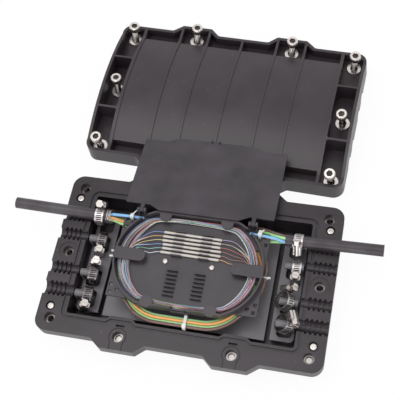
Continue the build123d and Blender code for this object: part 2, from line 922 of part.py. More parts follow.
def build_tube_ties():
    """Ties round the coil at the front and round each blue tube on the tray."""
    low = rim + coil_level - tube_radius - 0.3
    high = rim + coil_level + coil_nest + tube_radius + 0.2
    back = -(coil_front_side - tube_radius - 0.2)
    front = -(coil_front_side + 3 * coil_pitch + tube_radius + 0.4)
    ties = [loop(front_tie_x, front, back, low, high)]
    low = tray_bottom - 0.2
    high = tray_top + tube_on_tray + tube_radius + 0.2
    for x, y in (tray_tie_left, tray_tie_right):
        ties.append(loop(x, y, tray_half_width + tray_tie_reach, low, high))
    return Compound(children=ties)


def loop(x, y0, y1, z0, z1):
    """Closed tie with a small square head, about an inner rectangle."""
    half = tie_width / 2
    wall = tie_thickness
    ring = box(x - half, x + half, y0 - wall, y1 + wall, z0 - wall, z1 + wall)
    ring += box(x - half - 0.4, x + half + 0.4, y0, y0 + 2.6, z1, z1 + 2.0)
    return ring - box(x - half - 1, x + half + 1, y0, y1, z0, z1)


def build_strength_wires():
    """Two turns of steel wire over the jacket of the left-hand cable."""
    turns = []
    for setback in wire_setbacks:
        x = cable_left_inner_x - setback
        height = cable_axis(-1, x)
        ring = Torus(cable_radius + wire_diameter / 2 + 0.25, wire_diameter / 2)
        ring = Pos(x, port_outer_y, height) * Rot(0, 90, 0) * ring
        below = box(x - 2, x + 2, port_outer_y - 9, port_outer_y + 9, rim - 9, rim + 1)
        turns.append(ring - below)
    return Compound(children=turns)


def build_fibre_bed():
    """Bed of coiled fibre inside the oval, fanning out to the sleeves."""
    bed = oval(fibre_bed_inset) - oval(fibre_bed_inset + fibre_bed_width)
    bed = extrude(bed, fibre_bed_thickness)
    near = sleeve_length / 2 + 0.6
    far = tray_half_length - fibre_bed_inset - fibre_bed_width + 1
    rows = fin_rows(sleeve_row_y)
    for side in (-1, 1):
        fan = Polyline(
            (side * near, rows[0] + 0.6),
            (side * near, rows[-1] - 0.6),
            (side * far, 14.0),
            (side * far, -8.0),
            close=True,
        )
        bed += extrude(make_face(fan), fibre_fan_thickness)
    return Pos(tray_center_x, 0, tray_top + 0.03) * bed


def build_band(port_y, center_x, center_z, radius, tilt):
    """Closed clamp band about a port axis, tilted in the XZ plane."""
    ring = Cylinder(radius + band_thickness, band_width)
    ring -= Cylinder(radius, band_width + 1)
    return Pos(center_x, port_y, center_z) * Rot(0, 90 + tilt, 0) * ring


def clamp_frame(port_y, center_x, center_z, radius, tilt, angle):
    """Frame on the outside of a band: X along the band's axis, Z outwards."""
    turn = Pos(center_x, port_y, center_z) * Rot(0, tilt, 0) * Rot(angle, 0, 0)
    return turn * Pos(0, 0, radius + band_thickness)


def build_housing(frame):
    """Pressed housing that straddles the band and holds the worm."""
    block = Box(housing_width, housing_length, housing_height)
    block = fillet(block.edges().filter_by(Axis.Y).group_by(Axis.Z)[-1], 1.8)
    block = Pos(0, 0, housing_height / 2 + 0.02) * block
    bore = Rot(90, 0, 0) * Cylinder(worm_diameter / 2 + 0.05, worm_length + 6)
    return frame * (block - Pos(0, 0, housing_height / 2 + 0.4) * bore)


def build_worm(frame, flip):
    """Worm screw with a slotted hexagon head."""
    worm = Cylinder(worm_diameter / 2, worm_length)
    head = extrude(RegularPolygon(worm_head_diameter / 2, 6), worm_head_height)
    head -= Pos(0, 0, worm_head_height) * Box(worm_head_diameter + 1, 1.0, 1.6)
    worm += Pos(0, 0, worm_length / 2 - 0.3) * head
    lie = Rot(90 * flip, 0, 0) * worm
    return frame * Pos(0, 1.2 * -flip, housing_height / 2 + 0.4) * lie


# Clamp settings: port Y, centre beyond the tip of its tongue, inner radius, tilt
# of the ring, angle of the housing from straight up, side of the worm's head
clamps = {
    "left_1": (port_outer_y, 9.5, 7.5, 1.9, -64.0, 1),
    "left_2": (port_inner_y, 5.6, 7.6, 14.0, 88.0, -1),
    "left_3": (-port_inner_y, 5.6, 7.6, 14.0, -84.0, 1),
    "left_4": (-port_outer_y, 5.6, 7.6, 14.0, 84.0, -1),
    "right_1": (port_outer_y, 8.6, 7.5, -3.6, 58.0, -1),
    "right_2": (port_inner_y, 9.2, 7.6, 4.0, 84.0, -1),
    "right_3": (-port_inner_y, 4.1, 7.9, 49.0, -88.0, 1),
    "right_4": (-port_outer_y, 6.9, 7.9, 46.0, -28.0, 1),
}


def clamp_height(side, port_y, center_x, radius, tilt):
    """Height of a ring's centre: it hangs on its tongue, or on the cable over it."""
    if port_y == port_outer_y:
        return cable_axis(side, center_x) + cable_radius + clamp_play - radius
    lean = math.radians(tilt)
    drop = radius * math.cos(lean) - band_width / 2 * math.sin(lean)
    return rim - saddle_drop + clamp_play - drop


def build_cover():
    """Vaulted cover with its perimeter wall, ribs, pockets and hollow."""
    arch = arch_profile(cover_crest_height, cover_edge_height, cover_arch_foot_y)
    prism = Pos(-body_length, 0, 0) * extrude(
        Plane.YZ * arch, 2 * body_length
    )
    block = extrude(body_outline(), cover_crest_height + 2, taper=cover_draft)
    cover = block & prism
    # Troughs and pockets, from the top of the flange upwards
    hollow = extrude(
        body_outline(cover_wall + 0.4), cover_crest_height + 2, taper=cover_draft
    )
    hollow = Pos(0, 0, cover_flange) * hollow
    hollow -= box(
        -vault_half_length, vault_half_length, -vault_half_width, vault_half_width, 0, 60
    )
    for x in rib_positions:
        half = rib_thickness / 2
        hollow -= box(x - half, x + half, -90, 90, 0, 60)
    for side in (-1, 1):
        x0, x1 = sorted(
            (side * vault_half_length, side * (vault_half_length - end_rib_thickness))
        )
        hollow -= box(x0, x1, -90, 90, 0, 60)
        for back in (-1, 1):
            y = back * pocket_rib_y
            half = pocket_rib_thickness / 2
            x0, x1 = sorted((side * vault_half_length, side * 130.0))
            hollow -= box(x0, x1, y - half, y + half, 0, 60)
            hollow -= upright(rib_post_radius, side * (vault_half_length - 0.6), y, 0, 60)
    cover -= hollow
    # Panels between the ribs lie a little below the rib tops
    lowered = sky_profile(vault_recess)
    edges = [-vault_half_length + end_rib_thickness]
    for x in rib_positions:
        edges += [x - rib_thickness / 2, x + rib_thickness / 2]
    edges.append(vault_half_length - end_rib_thickness)
    for first, last in zip(edges[::2], edges[1::2]):
        cover -= Pos(first, 0, 0) * extrude(Plane.YZ * lowered, last - first)
    # Inside of the cover
    inner = cavity_profile(vault_recess + vault_skin)
    cover -= Pos(-cavity_length / 2, 0, 0) * extrude(Plane.YZ * inner, cavity_length)
    cover -= Pos(0, 0, -0.01) * seal_groove()
    cover -= port_cutter(cover_flange - 1.5)
    for x, y in bolt_places:
        cover -= upright(bolt_hole_diameter / 2, x, y, -1, cover_flange + 1)
    return cover_place * cover


def arch_radius():
    """Radius of the crown of the cover."""
    rise = cover_crest_height - cover_edge_height
    return (cover_arch_foot_y**2 + rise**2) / (2 * rise)


def arch_height(y, drop):
    """Height of the crown at Y, lowered by a drop square to its surface."""
    radius = arch_radius()
    return cover_crest_height - radius + math.sqrt((radius - drop) ** 2 - y**2)


def arch_profile(crest, edge, foot):
    """Section of the cover across X: flat shoulders and an arched crown."""
    far = 100.0
    crown = ThreePointArc((-foot, edge), (0, crest), (foot, edge))
    rest = Polyline((foot, edge), (far, edge), (far, 0), (-far, 0), (-far, edge), (-foot, edge))
    return make_face(Curve() + [crown, rest])


def sky_profile(drop):
    """Everything above the panel surface, within the vault's width."""
    y = vault_half_width
    z = arch_height(y, drop)
    crown = ThreePointArc((-y, z), (0, arch_height(0, drop)), (y, z))
    rest = Polyline((y, z), (y, 60), (-y, 60), (-y, z))
    return make_face(Curve() + [crown, rest])


def cavity_profile(drop):
    """Section of the space under the vault."""
    y = cavity_width / 2
    z = arch_height(y, drop)
    crown = ThreePointArc((-y, z), (0, arch_height(0, drop)), (y, z))
    rest = Polyline((y, z), (y, -1), (-y, -1), (-y, z))
    return make_face(Curve() + [crown, rest])


# How far each bolt head leans from its hole, as the loose bolts stand
bolt_leans = {
    (-bolt_end_x, bolt_corner_y): (3.3, 1.3),
    (-bolt_bulge_x, bolt_bulge_y): (3.8, 0.6),
    (bolt_bulge_x, bolt_bulge_y): (2.0, -0.7),
    (bolt_end_x, bolt_corner_y): (0.8, -1.1),
    (bolt_end_x, 0): (-1.2, -3.8),
    (bolt_end_x, -bolt_corner_y): (-1.2, -4.0),
    (-bolt_end_x, 0): (1.8, 1.5),
    (-bolt_end_x, -bolt_corner_y): (1.0, -3.0),
    (-bolt_bulge_x, -bolt_bulge_y): (0.0, 0.0),
    (bolt_bulge_x, -bolt_bulge_y): (0.0, 0.0),
}


def build_cover_bolts():
    """Ten cap screws standing loose in the cover, tips on the bench."""
    bolts = []
    pivot = cover_flange / 2
    arm = bolt_length + bolt_head_height - pivot
    for (x, y), (lean_x, lean_y) in bolt_leans.items():
        screw = socket_screw(
            bolt_diameter,
            bolt_length,
            bolt_head_diameter,
            bolt_head_height,
            bolt_socket_flats,
            bolt_socket_depth,
        )
        tilt_y = math.degrees(math.atan2(lean_x, arm))
        tilt_x = -math.degrees(math.atan2(lean_y, arm))
        slope = math.hypot(lean_x, lean_y) / arm
        lift = bolt_diameter / 2 * slope
        turn = Pos(x, y, pivot + lift) * Rot(tilt_x, tilt_y, 0) * Pos(0, 0, -pivot)
        bolts.append(cover_place * turn * screw)
    return Compound(children=bolts)


def build_cover_washers():
    """Ten flat washers on the cover's bolt bosses."""
    washers = []
    low = cover_flange + 0.02
    middle = low + washer_thickness / 2
    arm = bolt_length + bolt_head_height - cover_flange / 2
    follow = (middle - cover_flange / 2) / arm
    for (x, y), (lean_x, lean_y) in bolt_leans.items():
        ring = Cylinder(washer_diameter / 2, washer_thickness)
        ring -= Cylinder(washer_bore / 2, washer_thickness + 1)
        place = Pos(x + follow * lean_x, y + follow * lean_y, middle)
        washers.append(cover_place * place * ring)
    return Compound(children=washers)


save("base_shell", build_base_shell())
save("base_inserts", build_inserts())
save("corner_screws", build_corner_screws())
save("clamp_plate_left", build_clamp_plate(-1))
save("clamp_plate_right", build_clamp_plate(1))
save("storage_platform", build_platform())
save("splice_tray", build_tray())
save("tray_screws", build_tray_screws())
save("tray_lid", build_lid())
save("splice_sleeves", build_sleeves())
save("fibre_bed", build_fibre_bed())
save("cable_left", build_cable(-1, cable_left_inner_x, cable_left_outer_x))
save("cable_right", build_cable(1, cable_right_inner_x, cable_right_outer_x))
save("strength_wires", build_strength_wires())
save("blue_tube_left", build_blue_tube(-1))
save("blue_tube_right", build_blue_tube(1))
for name, settings in coiled_tubes.items():
    save(name, build_coiled_tube(*settings))
save("tube_ties", build_tube_ties())
housings = []
worms = []
for name, (port_y, reach, radius, tilt, angle, flip) in clamps.items():
    side = -1 if name.startswith("left") else 1
    x = side * (saddle_tip_x + reach)
    z = clamp_height(side, port_y, x, radius, tilt)
    print(name, "centre", round(x, 2), round(z - rim, 2))
    save(f"clamp_band_{name}", build_band(port_y, x, z, radius, tilt))
    frame = clamp_frame(port_y, x, z, radius, tilt, angle)
    housings.append(build_housing(frame))
    worms.append(build_worm(frame, flip))
save("clamp_housings", Compound(children=housings))
save("clamp_worm_screws", Compound(children=worms))
save("cover_shell", build_cover())
save("cover_bolts", build_cover_bolts())
save("cover_washers", build_cover_washers())
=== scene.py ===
import math
import random

import bmesh
import bpy
from bpy.props import FloatProperty, FloatVectorProperty, IntProperty, PointerProperty
from mathutils import Euler, Matrix, Vector


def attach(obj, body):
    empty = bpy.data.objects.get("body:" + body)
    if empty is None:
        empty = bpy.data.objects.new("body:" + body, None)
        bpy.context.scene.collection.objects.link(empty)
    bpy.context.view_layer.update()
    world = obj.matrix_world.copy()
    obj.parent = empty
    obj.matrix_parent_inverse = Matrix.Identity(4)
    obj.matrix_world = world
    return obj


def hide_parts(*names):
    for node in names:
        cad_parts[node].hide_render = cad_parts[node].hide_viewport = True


bl_info = {
    "name": "Splice closure finish",
    "version": (1, 0, 0),
    "blender": (4, 5, 0),
    "location": "3D Viewport > Sidebar > Closure",
    "description": "Dresses an opened fibre splice closure and sets its stage",
    "category": "Object",
}

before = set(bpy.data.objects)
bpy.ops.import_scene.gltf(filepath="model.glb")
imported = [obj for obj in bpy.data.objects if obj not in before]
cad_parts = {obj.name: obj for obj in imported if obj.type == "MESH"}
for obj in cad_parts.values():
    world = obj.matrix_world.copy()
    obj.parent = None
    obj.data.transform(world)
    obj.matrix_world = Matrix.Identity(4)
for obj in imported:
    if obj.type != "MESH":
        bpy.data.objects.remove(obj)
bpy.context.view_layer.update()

MM = 0.001
WHITE = (1, 1, 1, 1)


def linear(hex_colour):
    """Turn an sRGB hex colour into linear red, green, blue and alpha."""
    channels = []
    for start in (1, 3, 5):
        value = int(hex_colour[start : start + 2], 16) / 255
        if value <= 0.04045:
            channels.append(value / 12.92)
        else:
            channels.append(((value + 0.055) / 1.055) ** 2.4)
    return (*channels, 1.0)


def colour(label, hex_colour):
    """Colour property with a hex default."""
    return FloatVectorProperty(
        name=label,
        description=f"Colour of the {label.lower()}",
        subtype="COLOR",
        size=4,
        min=0,
        max=1,
        default=linear(hex_colour),
    )


def length(label, description, millimetres):
    """Length property with a default in millimetres."""
    return FloatProperty(
        name=label,
        description=description,
        default=millimetres * MM,
        min=0,
        unit="LENGTH",
        precision=5,
    )


class PlasticSettings(bpy.types.PropertyGroup):
    """Moulded parts."""

    base: colour("Base", "#251E23")
    base_pale: colour("Flow streaks on the base", "#332C32")
    cover: colour("Cover", "#2E262C")
    cover_pale: colour("Cover where the grain catches light", "#373035")
    tray: colour("Tray", "#383338")
    tray_pale: colour("Tray where it is rubbed", "#433E43")
    platform: colour("Storage platform", "#77747A")
    plate: colour("Clamp plates", "#6F6A6E")
    # Painted highlight on top of the clamp plates' tongues
    tongue: colour("Painted highlight on the tongues", "#6A676B")
    lid: colour("Lid", "#302B31")
    lid_pale: colour("Lid where it is scuffed", "#433E44")
    cable: colour("Cable jacket", "#4B474B")
    dust: colour("Dust specks", "#8E8C8A")
    # Real grain is nearer 0.1 mm; this is as fine as the render can show
    grain: length("Grain", "Width of one grain of the moulded texture", 0.5)


class MetalSettings(bpy.types.PropertyGroup):
    """Fasteners and clamps."""

    zinc: colour("Plated steel", "#D8D1CD")
    # Painted shade for the bolt sockets and the open bores
    socket_and_bore_shade: colour("Painted shade in sockets and bores", "#2E2620")
    steel: colour("Stainless band", "#C8C2C2")
    # Darker copy of the band steel: painted shade on the spare bands at the left
    shaded_stainless: colour("Stainless of the spare clamps", "#777173")
    insert: colour("Threaded inserts", "#7C7575")
    bore: colour("Ends of the threaded bores", "#B0ACA8")
    band_width: length("Band width", "Width of the clamp bands", 7.5)
    band_thickness: length("Band thickness", "Thickness of the clamp bands", 0.7)
    slot_length: length("Slot length", "Length of each slot across the band", 4.6)
    thread_pitch: length("Thread pitch", "Rise of the bolt thread in one turn", 1.0)
    thread_ridge: length("Thread ridge", "Width across one ridge of the thread", 0.8)
    knurl_count: IntProperty(
        name="Knurls",
        description="Ridges round the head of one bolt",
        default=36,
        min=8,
        max=80,
    )
    slot_count: IntProperty(
        name="Slots",
        description="Slots punched round one clamp band",
        default=26,
        min=8,
        max=60,
    )


class FibreSettings(bpy.types.PropertyGroup):
    """Fibres, tubes and sleeves in and under the tray."""

    blue_tube: colour("Blue tube", "#78BAF0")
    green_tube: colour("Green tube", "#A6EA9A")
    orange_tube: colour("Orange tube", "#F0A040")
    brown_tube: colour("Brown tube", "#5C3020")
    nylon: colour("Ties", "#E4E4E2")
    sleeve: colour("Sleeves", "#BDB5AC")
    # Coated fibre is 0.25 mm thick; drawn thicker, so that single fibres show
    strand_diameter: length("Strand", "Diameter that each fibre is drawn at", 0.48)
    seed: IntProperty(
        name="Seed",
        description="Changes how the fibres lie",
        default=7,
        min=0,
    )


class StageSettings(bpy.types.PropertyGroup):
    """Floor, light and camera."""

    floor: colour("Floor", "#FFFFFF")
    floor_size: length("Floor size", "Side of the square floor", 6000)
    focal_length: FloatProperty(
        name="Focal length",
        description="Lens length for a 36 mm wide sensor, in millimetres",
        default=79.25,
        min=10,
    )


def add_node(tree, kind, inputs=None, **settings):
    """Add a node with its settings and its inputs.

    An input is a plain value, a socket to link, or a node, which is linked by
    the first of its outputs that is in use.
    """
    node = tree.nodes.new(kind)
    for name, value in settings.items():
        setattr(node, name, value)
    for name, value in (inputs or {}).items():
        if isinstance(value, bpy.types.Node):
            value = next(output for output in value.outputs if output.enabled)
        if isinstance(value, bpy.types.NodeSocket):
            tree.links.new(value, node.inputs[name])
        else:
            node.inputs[name].default_value = value
    return node


# Widths of the marks in the finishes
FLOW_MARK = 30 * MM
SPECK_SPACING = 9 * MM
SMEAR = 5 * MM
WAX_STREAK = 4 * MM
# Noise between which a finish turns from dark to pale
MARK_LOW, MARK_HIGH = 0.35, 0.68
# Rim and core of a speck, as shares of the spacing, and how strongly it shows
SPECK_RIM, SPECK_CORE, SPECK_SHARE = 0.075, 0.04, 0.32
# How deep the mould's grain is pressed in, and how far edges look rounded
GRAIN_DEPTH = 0.03 * MM
SOFT_EDGE = 0.45 * MM
CRISP_EDGE = 0.28 * MM
METAL_EDGE = 0.3 * MM
SHEET_EDGE = 0.15 * MM


def new_surface(name, **values):
    """Material with one Principled shader; returns it with its tree and shader."""
    material = bpy.data.materials.new(name)
    material.use_nodes = True
    tree = material.node_tree
    shader = tree.nodes["Principled BSDF"]
    for socket, value in values.items():
        shader.inputs[socket.replace("_", " ")].default_value = value
    return material, tree, shader


def soften_edges(tree, shader, radius, relief=None, depth=0.0):
    """Round the look of sharp edges, and press in a relief where one is given."""
    normal = add_node(tree, "ShaderNodeBevel", {"Radius": radius}, samples=4)
    if relief is not None:
        normal = add_node(
            tree,
            "ShaderNodeBump",
            {"Strength": 1.0, "Distance": depth, "Height": relief, "Normal": normal},
        )
    tree.links.new(normal.outputs["Normal"], shader.inputs["Normal"])


def vary_roughness(tree, shader, noise, low, high):
    """Make a surface duller here and there, as a noise says."""
    rough = add_node(
        tree, "ShaderNodeMapRange", {"Value": noise, "To Min": low, "To Max": high}
    )
    tree.links.new(rough.outputs["Result"], shader.inputs["Roughness"])


def moulded_plastic(
    name,
    dark,
    pale,
    grain,
    roughness,
    dust=None,
    depth=GRAIN_DEPTH,
    streak=1.0,
    edge=SOFT_EDGE,
):
    """Black plastic or paint with the fine grain of a spark-eroded mould.

    The grain breaks up the shine, so that flat faces read as charcoal and only
    the edges and the vault pick up a soft highlight.
    """
    material, tree, shader = new_surface(name, IOR=1.49)
    place = add_node(tree, "ShaderNodeTexCoord").outputs["Object"]
    grit = add_node(
        tree,
        "ShaderNodeTexNoise",
        {"Vector": place, "Scale": 0.5 / grain, "Detail": 3.0, "Roughness": 0.7},
    )
    # Flow and handling marks, drawn out along X where streak is under 1
    drawn = add_node(
        tree, "ShaderNodeMapping", {"Vector": place, "Scale": (streak, 1.0, 1.0)}
    )
    cloud = add_node(
        tree,
        "ShaderNodeTexNoise",
        {
            "Vector": drawn,
            "Scale": 1 / (FLOW_MARK * streak**0.5),
            "Detail": 4.0,
            "Roughness": 0.55,
        },
    )
    share = add_node(
        tree,
        "ShaderNodeMapRange",
        {"Value": cloud, "From Min": MARK_LOW, "From Max": MARK_HIGH},
    )
    shade = add_node(
        tree,
        "ShaderNodeMix",
        {"Factor": share, "A": dark, "B": pale},
        data_type="RGBA",
    )
    if dust:
        # Specks under 1 mm, a few to each hand's breadth
        speck = add_node(
            tree,
            "ShaderNodeTexVoronoi",
            {"Vector": place, "Scale": 1 / SPECK_SPACING, "Randomness": 1.0},
        )
        near = add_node(
            tree,
            "ShaderNodeMapRange",
            {
                "Value": speck,
                "From Min": SPECK_RIM,
                "From Max": SPECK_CORE,
                "To Max": SPECK_SHARE,
            },
        )
        shade = add_node(
            tree,
            "ShaderNodeMix",
            {"Factor": near, "A": shade, "B": dust},
            data_type="RGBA",
        )
    tree.links.new(shade.outputs["Result"], shader.inputs["Base Color"])
    vary_roughness(tree, shader, cloud, roughness - 0.07, roughness + 0.1)
    soften_edges(tree, shader, edge, grit, depth)
    return material


def tint_by_height(material, low, high, tint):
    """Lead a finish over to a tint between two heights, to paint a highlight on the
    higher part.
    """
    tree = material.node_tree
    target = tree.nodes["Principled BSDF"].inputs["Base Color"]
    place = add_node(tree, "ShaderNodeTexCoord").outputs["Object"]
    height = add_node(tree, "ShaderNodeSeparateXYZ", {"Vector": place}).outputs["Z"]
    share = add_node(
        tree,
        "ShaderNodeMapRange",
        {"Value": height, "From Min": low, "From Max": high},
    )
    below = target.links[0].from_socket
    mix = add_node(
        tree,
        "ShaderNodeMix",
        {"Factor": share, "A": below, "B": tint},
        data_type="RGBA",
    )
    tree.links.new(mix.outputs["Result"], target)


def plated_metal(name, tint, roughness, edge=METAL_EDGE):
    """Bright metal: clear reflections, dulled here and there by handling."""
    material, tree, shader = new_surface(name, Metallic=1.0, Base_Color=tint)
    place = add_node(tree, "ShaderNodeTexCoord").outputs["Object"]
    smear = add_node(
        tree,
        "ShaderNodeTexNoise",
        {"Vector": place, "Scale": 1 / SMEAR, "Detail": 5.0},
    )
    vary_roughness(tree, shader, smear, roughness - 0.08, roughness + 0.14)
    soften_edges(tree, shader, edge)
    return material


def extruded_plastic(name, tint, roughness, pale=0.15):
    """Extruded polymer, as on tubes and ties: even colour under a waxy gloss."""
    material, tree, shader = new_surface(name, IOR=1.5, Roughness=roughness)
    place = add_node(tree, "ShaderNodeTexCoord").outputs["Object"]
    streak = add_node(
        tree,
        "ShaderNodeTexNoise",
        {"Vector": place, "Scale": 1 / WAX_STREAK, "Detail": 2.0},
    )
    light = [min(1.0, channel + pale * (1 - channel)) for channel in tint[:3]]
    mix = add_node(
        tree,
        "ShaderNodeMix",
        {"Factor": streak, "A": tint, "B": (*light, 1.0)},
        data_type="RGBA",
    )
    tree.links.new(mix.outputs["Result"], shader.inputs["Base Color"])
    return material


def dress(material, *nodes):
    """Give CAD nodes their finish."""
    for name in nodes:
        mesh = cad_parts[name].data
        mesh.materials.clear()
        mesh.materials.append(material)


def new_tree(name, **sizes):
    """Geometry Nodes tree with inputs listed by kind; returns it and its inputs."""
    tree = bpy.data.node_groups.new(name, "GeometryNodeTree")
    sockets = tree.interface
    sockets.new_socket("Geometry", in_out="OUTPUT", socket_type="NodeSocketGeometry")
    kinds = {"Geometry": ["Geometry"], **sizes, "Material": ["Material"]}
    for kind, labels in kinds.items():
        for label in labels:
            sockets.new_socket(label, in_out="INPUT", socket_type=f"NodeSocket{kind}")
    return tree, add_node(tree, "NodeGroupInput").outputs


def close_tree(tree, size, geometry):
    """End a tree in real geometry that carries its material."""
    real = add_node(tree, "GeometryNodeRealizeInstances", {"Geometry": geometry})
    painted = add_node(
        tree,
        "GeometryNodeSetMaterial",
        {"Geometry": real, "Material": size["Material"]},
    )
    add_node(tree, "NodeGroupOutput", {"Geometry": painted})
    return tree


def copy_to_marks(tree, size, blank):
    """End a tree with its blank on every mark, leaning as the mark says."""
    lean = add_node(
        tree,
        "GeometryNodeInputNamedAttribute",
        {"Name": "lean"},
        data_type="FLOAT_VECTOR",
    )
    copies = add_node(
        tree,
        "GeometryNodeInstanceOnPoints",
        {"Points": size["Geometry"], "Instance": blank, "Rotation": lean},
    )
    return close_tree(tree, size, copies)


def grow(name, data, tree, **inputs):
    """Run a Geometry Nodes tree on some data and keep its result as a plain mesh."""
    source = bpy.data.objects.new(name + "_source", data)
    bpy.context.scene.collection.objects.link(source)
    modifier = source.modifiers.new("grow", "NODES")
    modifier.node_group = tree
    for item in tree.interface.items_tree:
        label = item.name.replace(" ", "_")
        if item.in_out == "INPUT" and label in inputs:
            modifier[item.identifier] = inputs[label]
    bpy.context.view_layer.update()
    evaluated = source.evaluated_get(bpy.context.evaluated_depsgraph_get())
    mesh = bpy.data.meshes.new_from_object(evaluated)
    bpy.data.objects.remove(source)
    mesh.name = name
    piece = bpy.data.objects.new(name, mesh)
    bpy.context.scene.collection.objects.link(piece)
    return piece


# Distance within which a band's edges join into one shell, and its rows of corners
BAND_SEAM = 0.02 * MM
BAND_ROWS = 11
# Sums for the band, each with its name, operation and terms. X and Y are places on
# the flat strip, and each slot has a cell of four columns with the middle two open.
BAND_SUMS = (
    ("around", "MULTIPLY", "Radius", 2 * math.pi),
    ("four_each", "MULTIPLY", "Slots", 4),
    ("columns", "ADD", "four_each", 1),
    ("cell", "DIVIDE", "around", "Slots"),
    ("cells", "DIVIDE", "X", "cell"),
    ("phase", "FRACT", "cells"),
    ("shift", "SUBTRACT", "phase", 0.5),
    ("off_middle", "ABSOLUTE", "shift"),
    ("open_x", "LESS_THAN", "off_middle", 0.25),
    ("off_centre", "ABSOLUTE", "Y"),
    ("half_slot", "MULTIPLY", "Slot Length", 0.5),
    ("open_y", "LESS_THAN", "off_centre", "half_slot"),
    ("open", "MULTIPLY", "open_x", "open_y"),
    ("drift", "MULTIPLY", "Y", "Slant"),
    ("slanted", "ADD", "X", "drift"),
    ("angle", "DIVIDE", "slanted", "Radius"),
    ("sine", "SINE", "angle"),
    ("cosine", "COSINE", "angle"),
    ("side", "MULTIPLY", "sine", "Radius"),
    ("height", "MULTIPLY", "cosine", "Radius"),
)


def band_tree():
    """Clamp band: a strip punched with slanted slots, rolled and thickened."""
    tree, size = new_tree(
        "punched_band",
        Float=["Radius", "Width", "Thickness", "Slot Length", "Slant"],
        Int=["Slots"],
        Vector=["Place"],
        Rotation=["Turn"],
    )
    place = add_node(tree, "GeometryNodeInputPosition")
    at = add_node(tree, "ShaderNodeSeparateXYZ", {"Vector": place})
    known = {socket.name: socket for socket in (*size, *at.outputs)}
    for name, operation, *terms in BAND_SUMS:
        values = {number: known.get(term, term) for number, term in enumerate(terms)}
        known[name] = add_node(tree, "ShaderNodeMath", values, operation=operation)
    strip = add_node(
        tree,
        "GeometryNodeMeshGrid",
        {
            "Size X": known["around"],
            "Size Y": size["Width"],
            "Vertices X": known["columns"],
            "Vertices Y": BAND_ROWS,
        },
    )
    punched = add_node(
        tree,
        "GeometryNodeDeleteGeometry",
        {"Geometry": strip, "Selection": known["open"]},
        domain="FACE",
    )
    rolled = add_node(
        tree,
        "ShaderNodeCombineXYZ",
        {"X": known["Y"], "Y": known["side"], "Z": known["height"]},
    )
    ring = add_node(
        tree, "GeometryNodeSetPosition", {"Geometry": punched, "Position": rolled}
    )
    ring = add_node(
        tree, "GeometryNodeMergeByDistance", {"Geometry": ring, "Distance": BAND_SEAM}
    )
    outside = add_node(
        tree,
        "GeometryNodeExtrudeMesh",
        {"Mesh": ring, "Offset Scale": size["Thickness"], "Individual": False},
    )
    inside = add_node(tree, "GeometryNodeFlipFaces", {"Mesh": ring})
    both = add_node(tree, "GeometryNodeJoinGeometry", {"Geometry": inside})
    tree.links.new(outside.outputs["Mesh"], both.inputs["Geometry"])
    closed = add_node(
        tree, "GeometryNodeMergeByDistance", {"Geometry": both, "Distance": BAND_SEAM}
    )
    placed = add_node(
        tree,
        "GeometryNodeTransform",
        {"Geometry": closed, "Translation": size["Place"], "Rotation": size["Turn"]},
    )
    return close_tree(tree, size, placed)


def strand_tree():
    """Round strand along every spline of a curve."""
    tree, size = new_tree("round_strand", Float=["Diameter"], Int=["Sides"])
    radius = add_node(
        tree, "ShaderNodeMath", {0: size["Diameter"], 1: 0.5}, operation="MULTIPLY"
    )
    section = add_node(
        tree,
        "GeometryNodeCurvePrimitiveCircle",
        {"Resolution": size["Sides"], "Radius": radius},
    )
    strand = add_node(
        tree,
        "GeometryNodeCurveToMesh",
        {"Curve": size["Geometry"], "Profile Curve": section, "Fill Caps": True},
    )
    smooth = add_node(tree, "GeometryNodeSetShadeSmooth", {"Geometry": strand})
    return close_tree(tree, size, smooth)


# Points in one turn of the thread, and a knurl's bar as a share of its ridge
THREAD_STEPS = 14
BAR_SHARE = 0.45


def thread_tree(knurled):
    """Thread on a shank or in a bore; knurled, it has the bolt's body and head too."""
    tree, size = new_tree(
        "knurled_thread" if knurled else "plain_thread",
        Float=[
            "Radius",
            "Length",
            "Pitch",
            "Ridge",
            "Start",
            "Head Radius",
            "Head Height",
            "Head Start",
        ],
        Int=["Knurls"],
        Object=["Blank"],
    )
    turns = add_node(
        tree,
        "ShaderNodeMath",
        {0: size["Length"], 1: size["Pitch"]},
        operation="DIVIDE",
    )
    helix = add_node(
        tree,
        "GeometryNodeCurveSpiral",
        {
            "Resolution": THREAD_STEPS,
            "Rotations": turns,
            "Start Radius": size["Radius"],
            "End Radius": size["Radius"],
            "Height": size["Length"],
        },
    )
    level = add_node(tree, "GeometryNodeSetCurveNormal", {"Curve": helix}, mode="Z_UP")
    half_ridge = add_node(
        tree, "ShaderNodeMath", {0: size["Ridge"], 1: 0.5}, operation="MULTIPLY"
    )
    section = add_node(
        tree,
        "GeometryNodeCurvePrimitiveCircle",
        {"Resolution": 4, "Radius": half_ridge},
    )
    ridge = add_node(
        tree,
        "GeometryNodeCurveToMesh",
        {"Curve": level, "Profile Curve": section, "Fill Caps": True},
    )
    foot = add_node(tree, "ShaderNodeCombineXYZ", {"Z": size["Start"]})
    raised = add_node(
        tree, "GeometryNodeTransform", {"Geometry": ridge, "Translation": foot}
    )
    relief = add_node(tree, "GeometryNodeJoinGeometry", {"Geometry": raised})
    if knurled:
        blank = add_node(tree, "GeometryNodeObjectInfo", {"Object": size["Blank"]})
        tree.links.new(blank.outputs["Geometry"], relief.inputs["Geometry"])
        tree.links.new(
            knurl(tree, size).outputs["Geometry"], relief.inputs["Geometry"]
        )
    return copy_to_marks(tree, size, relief)


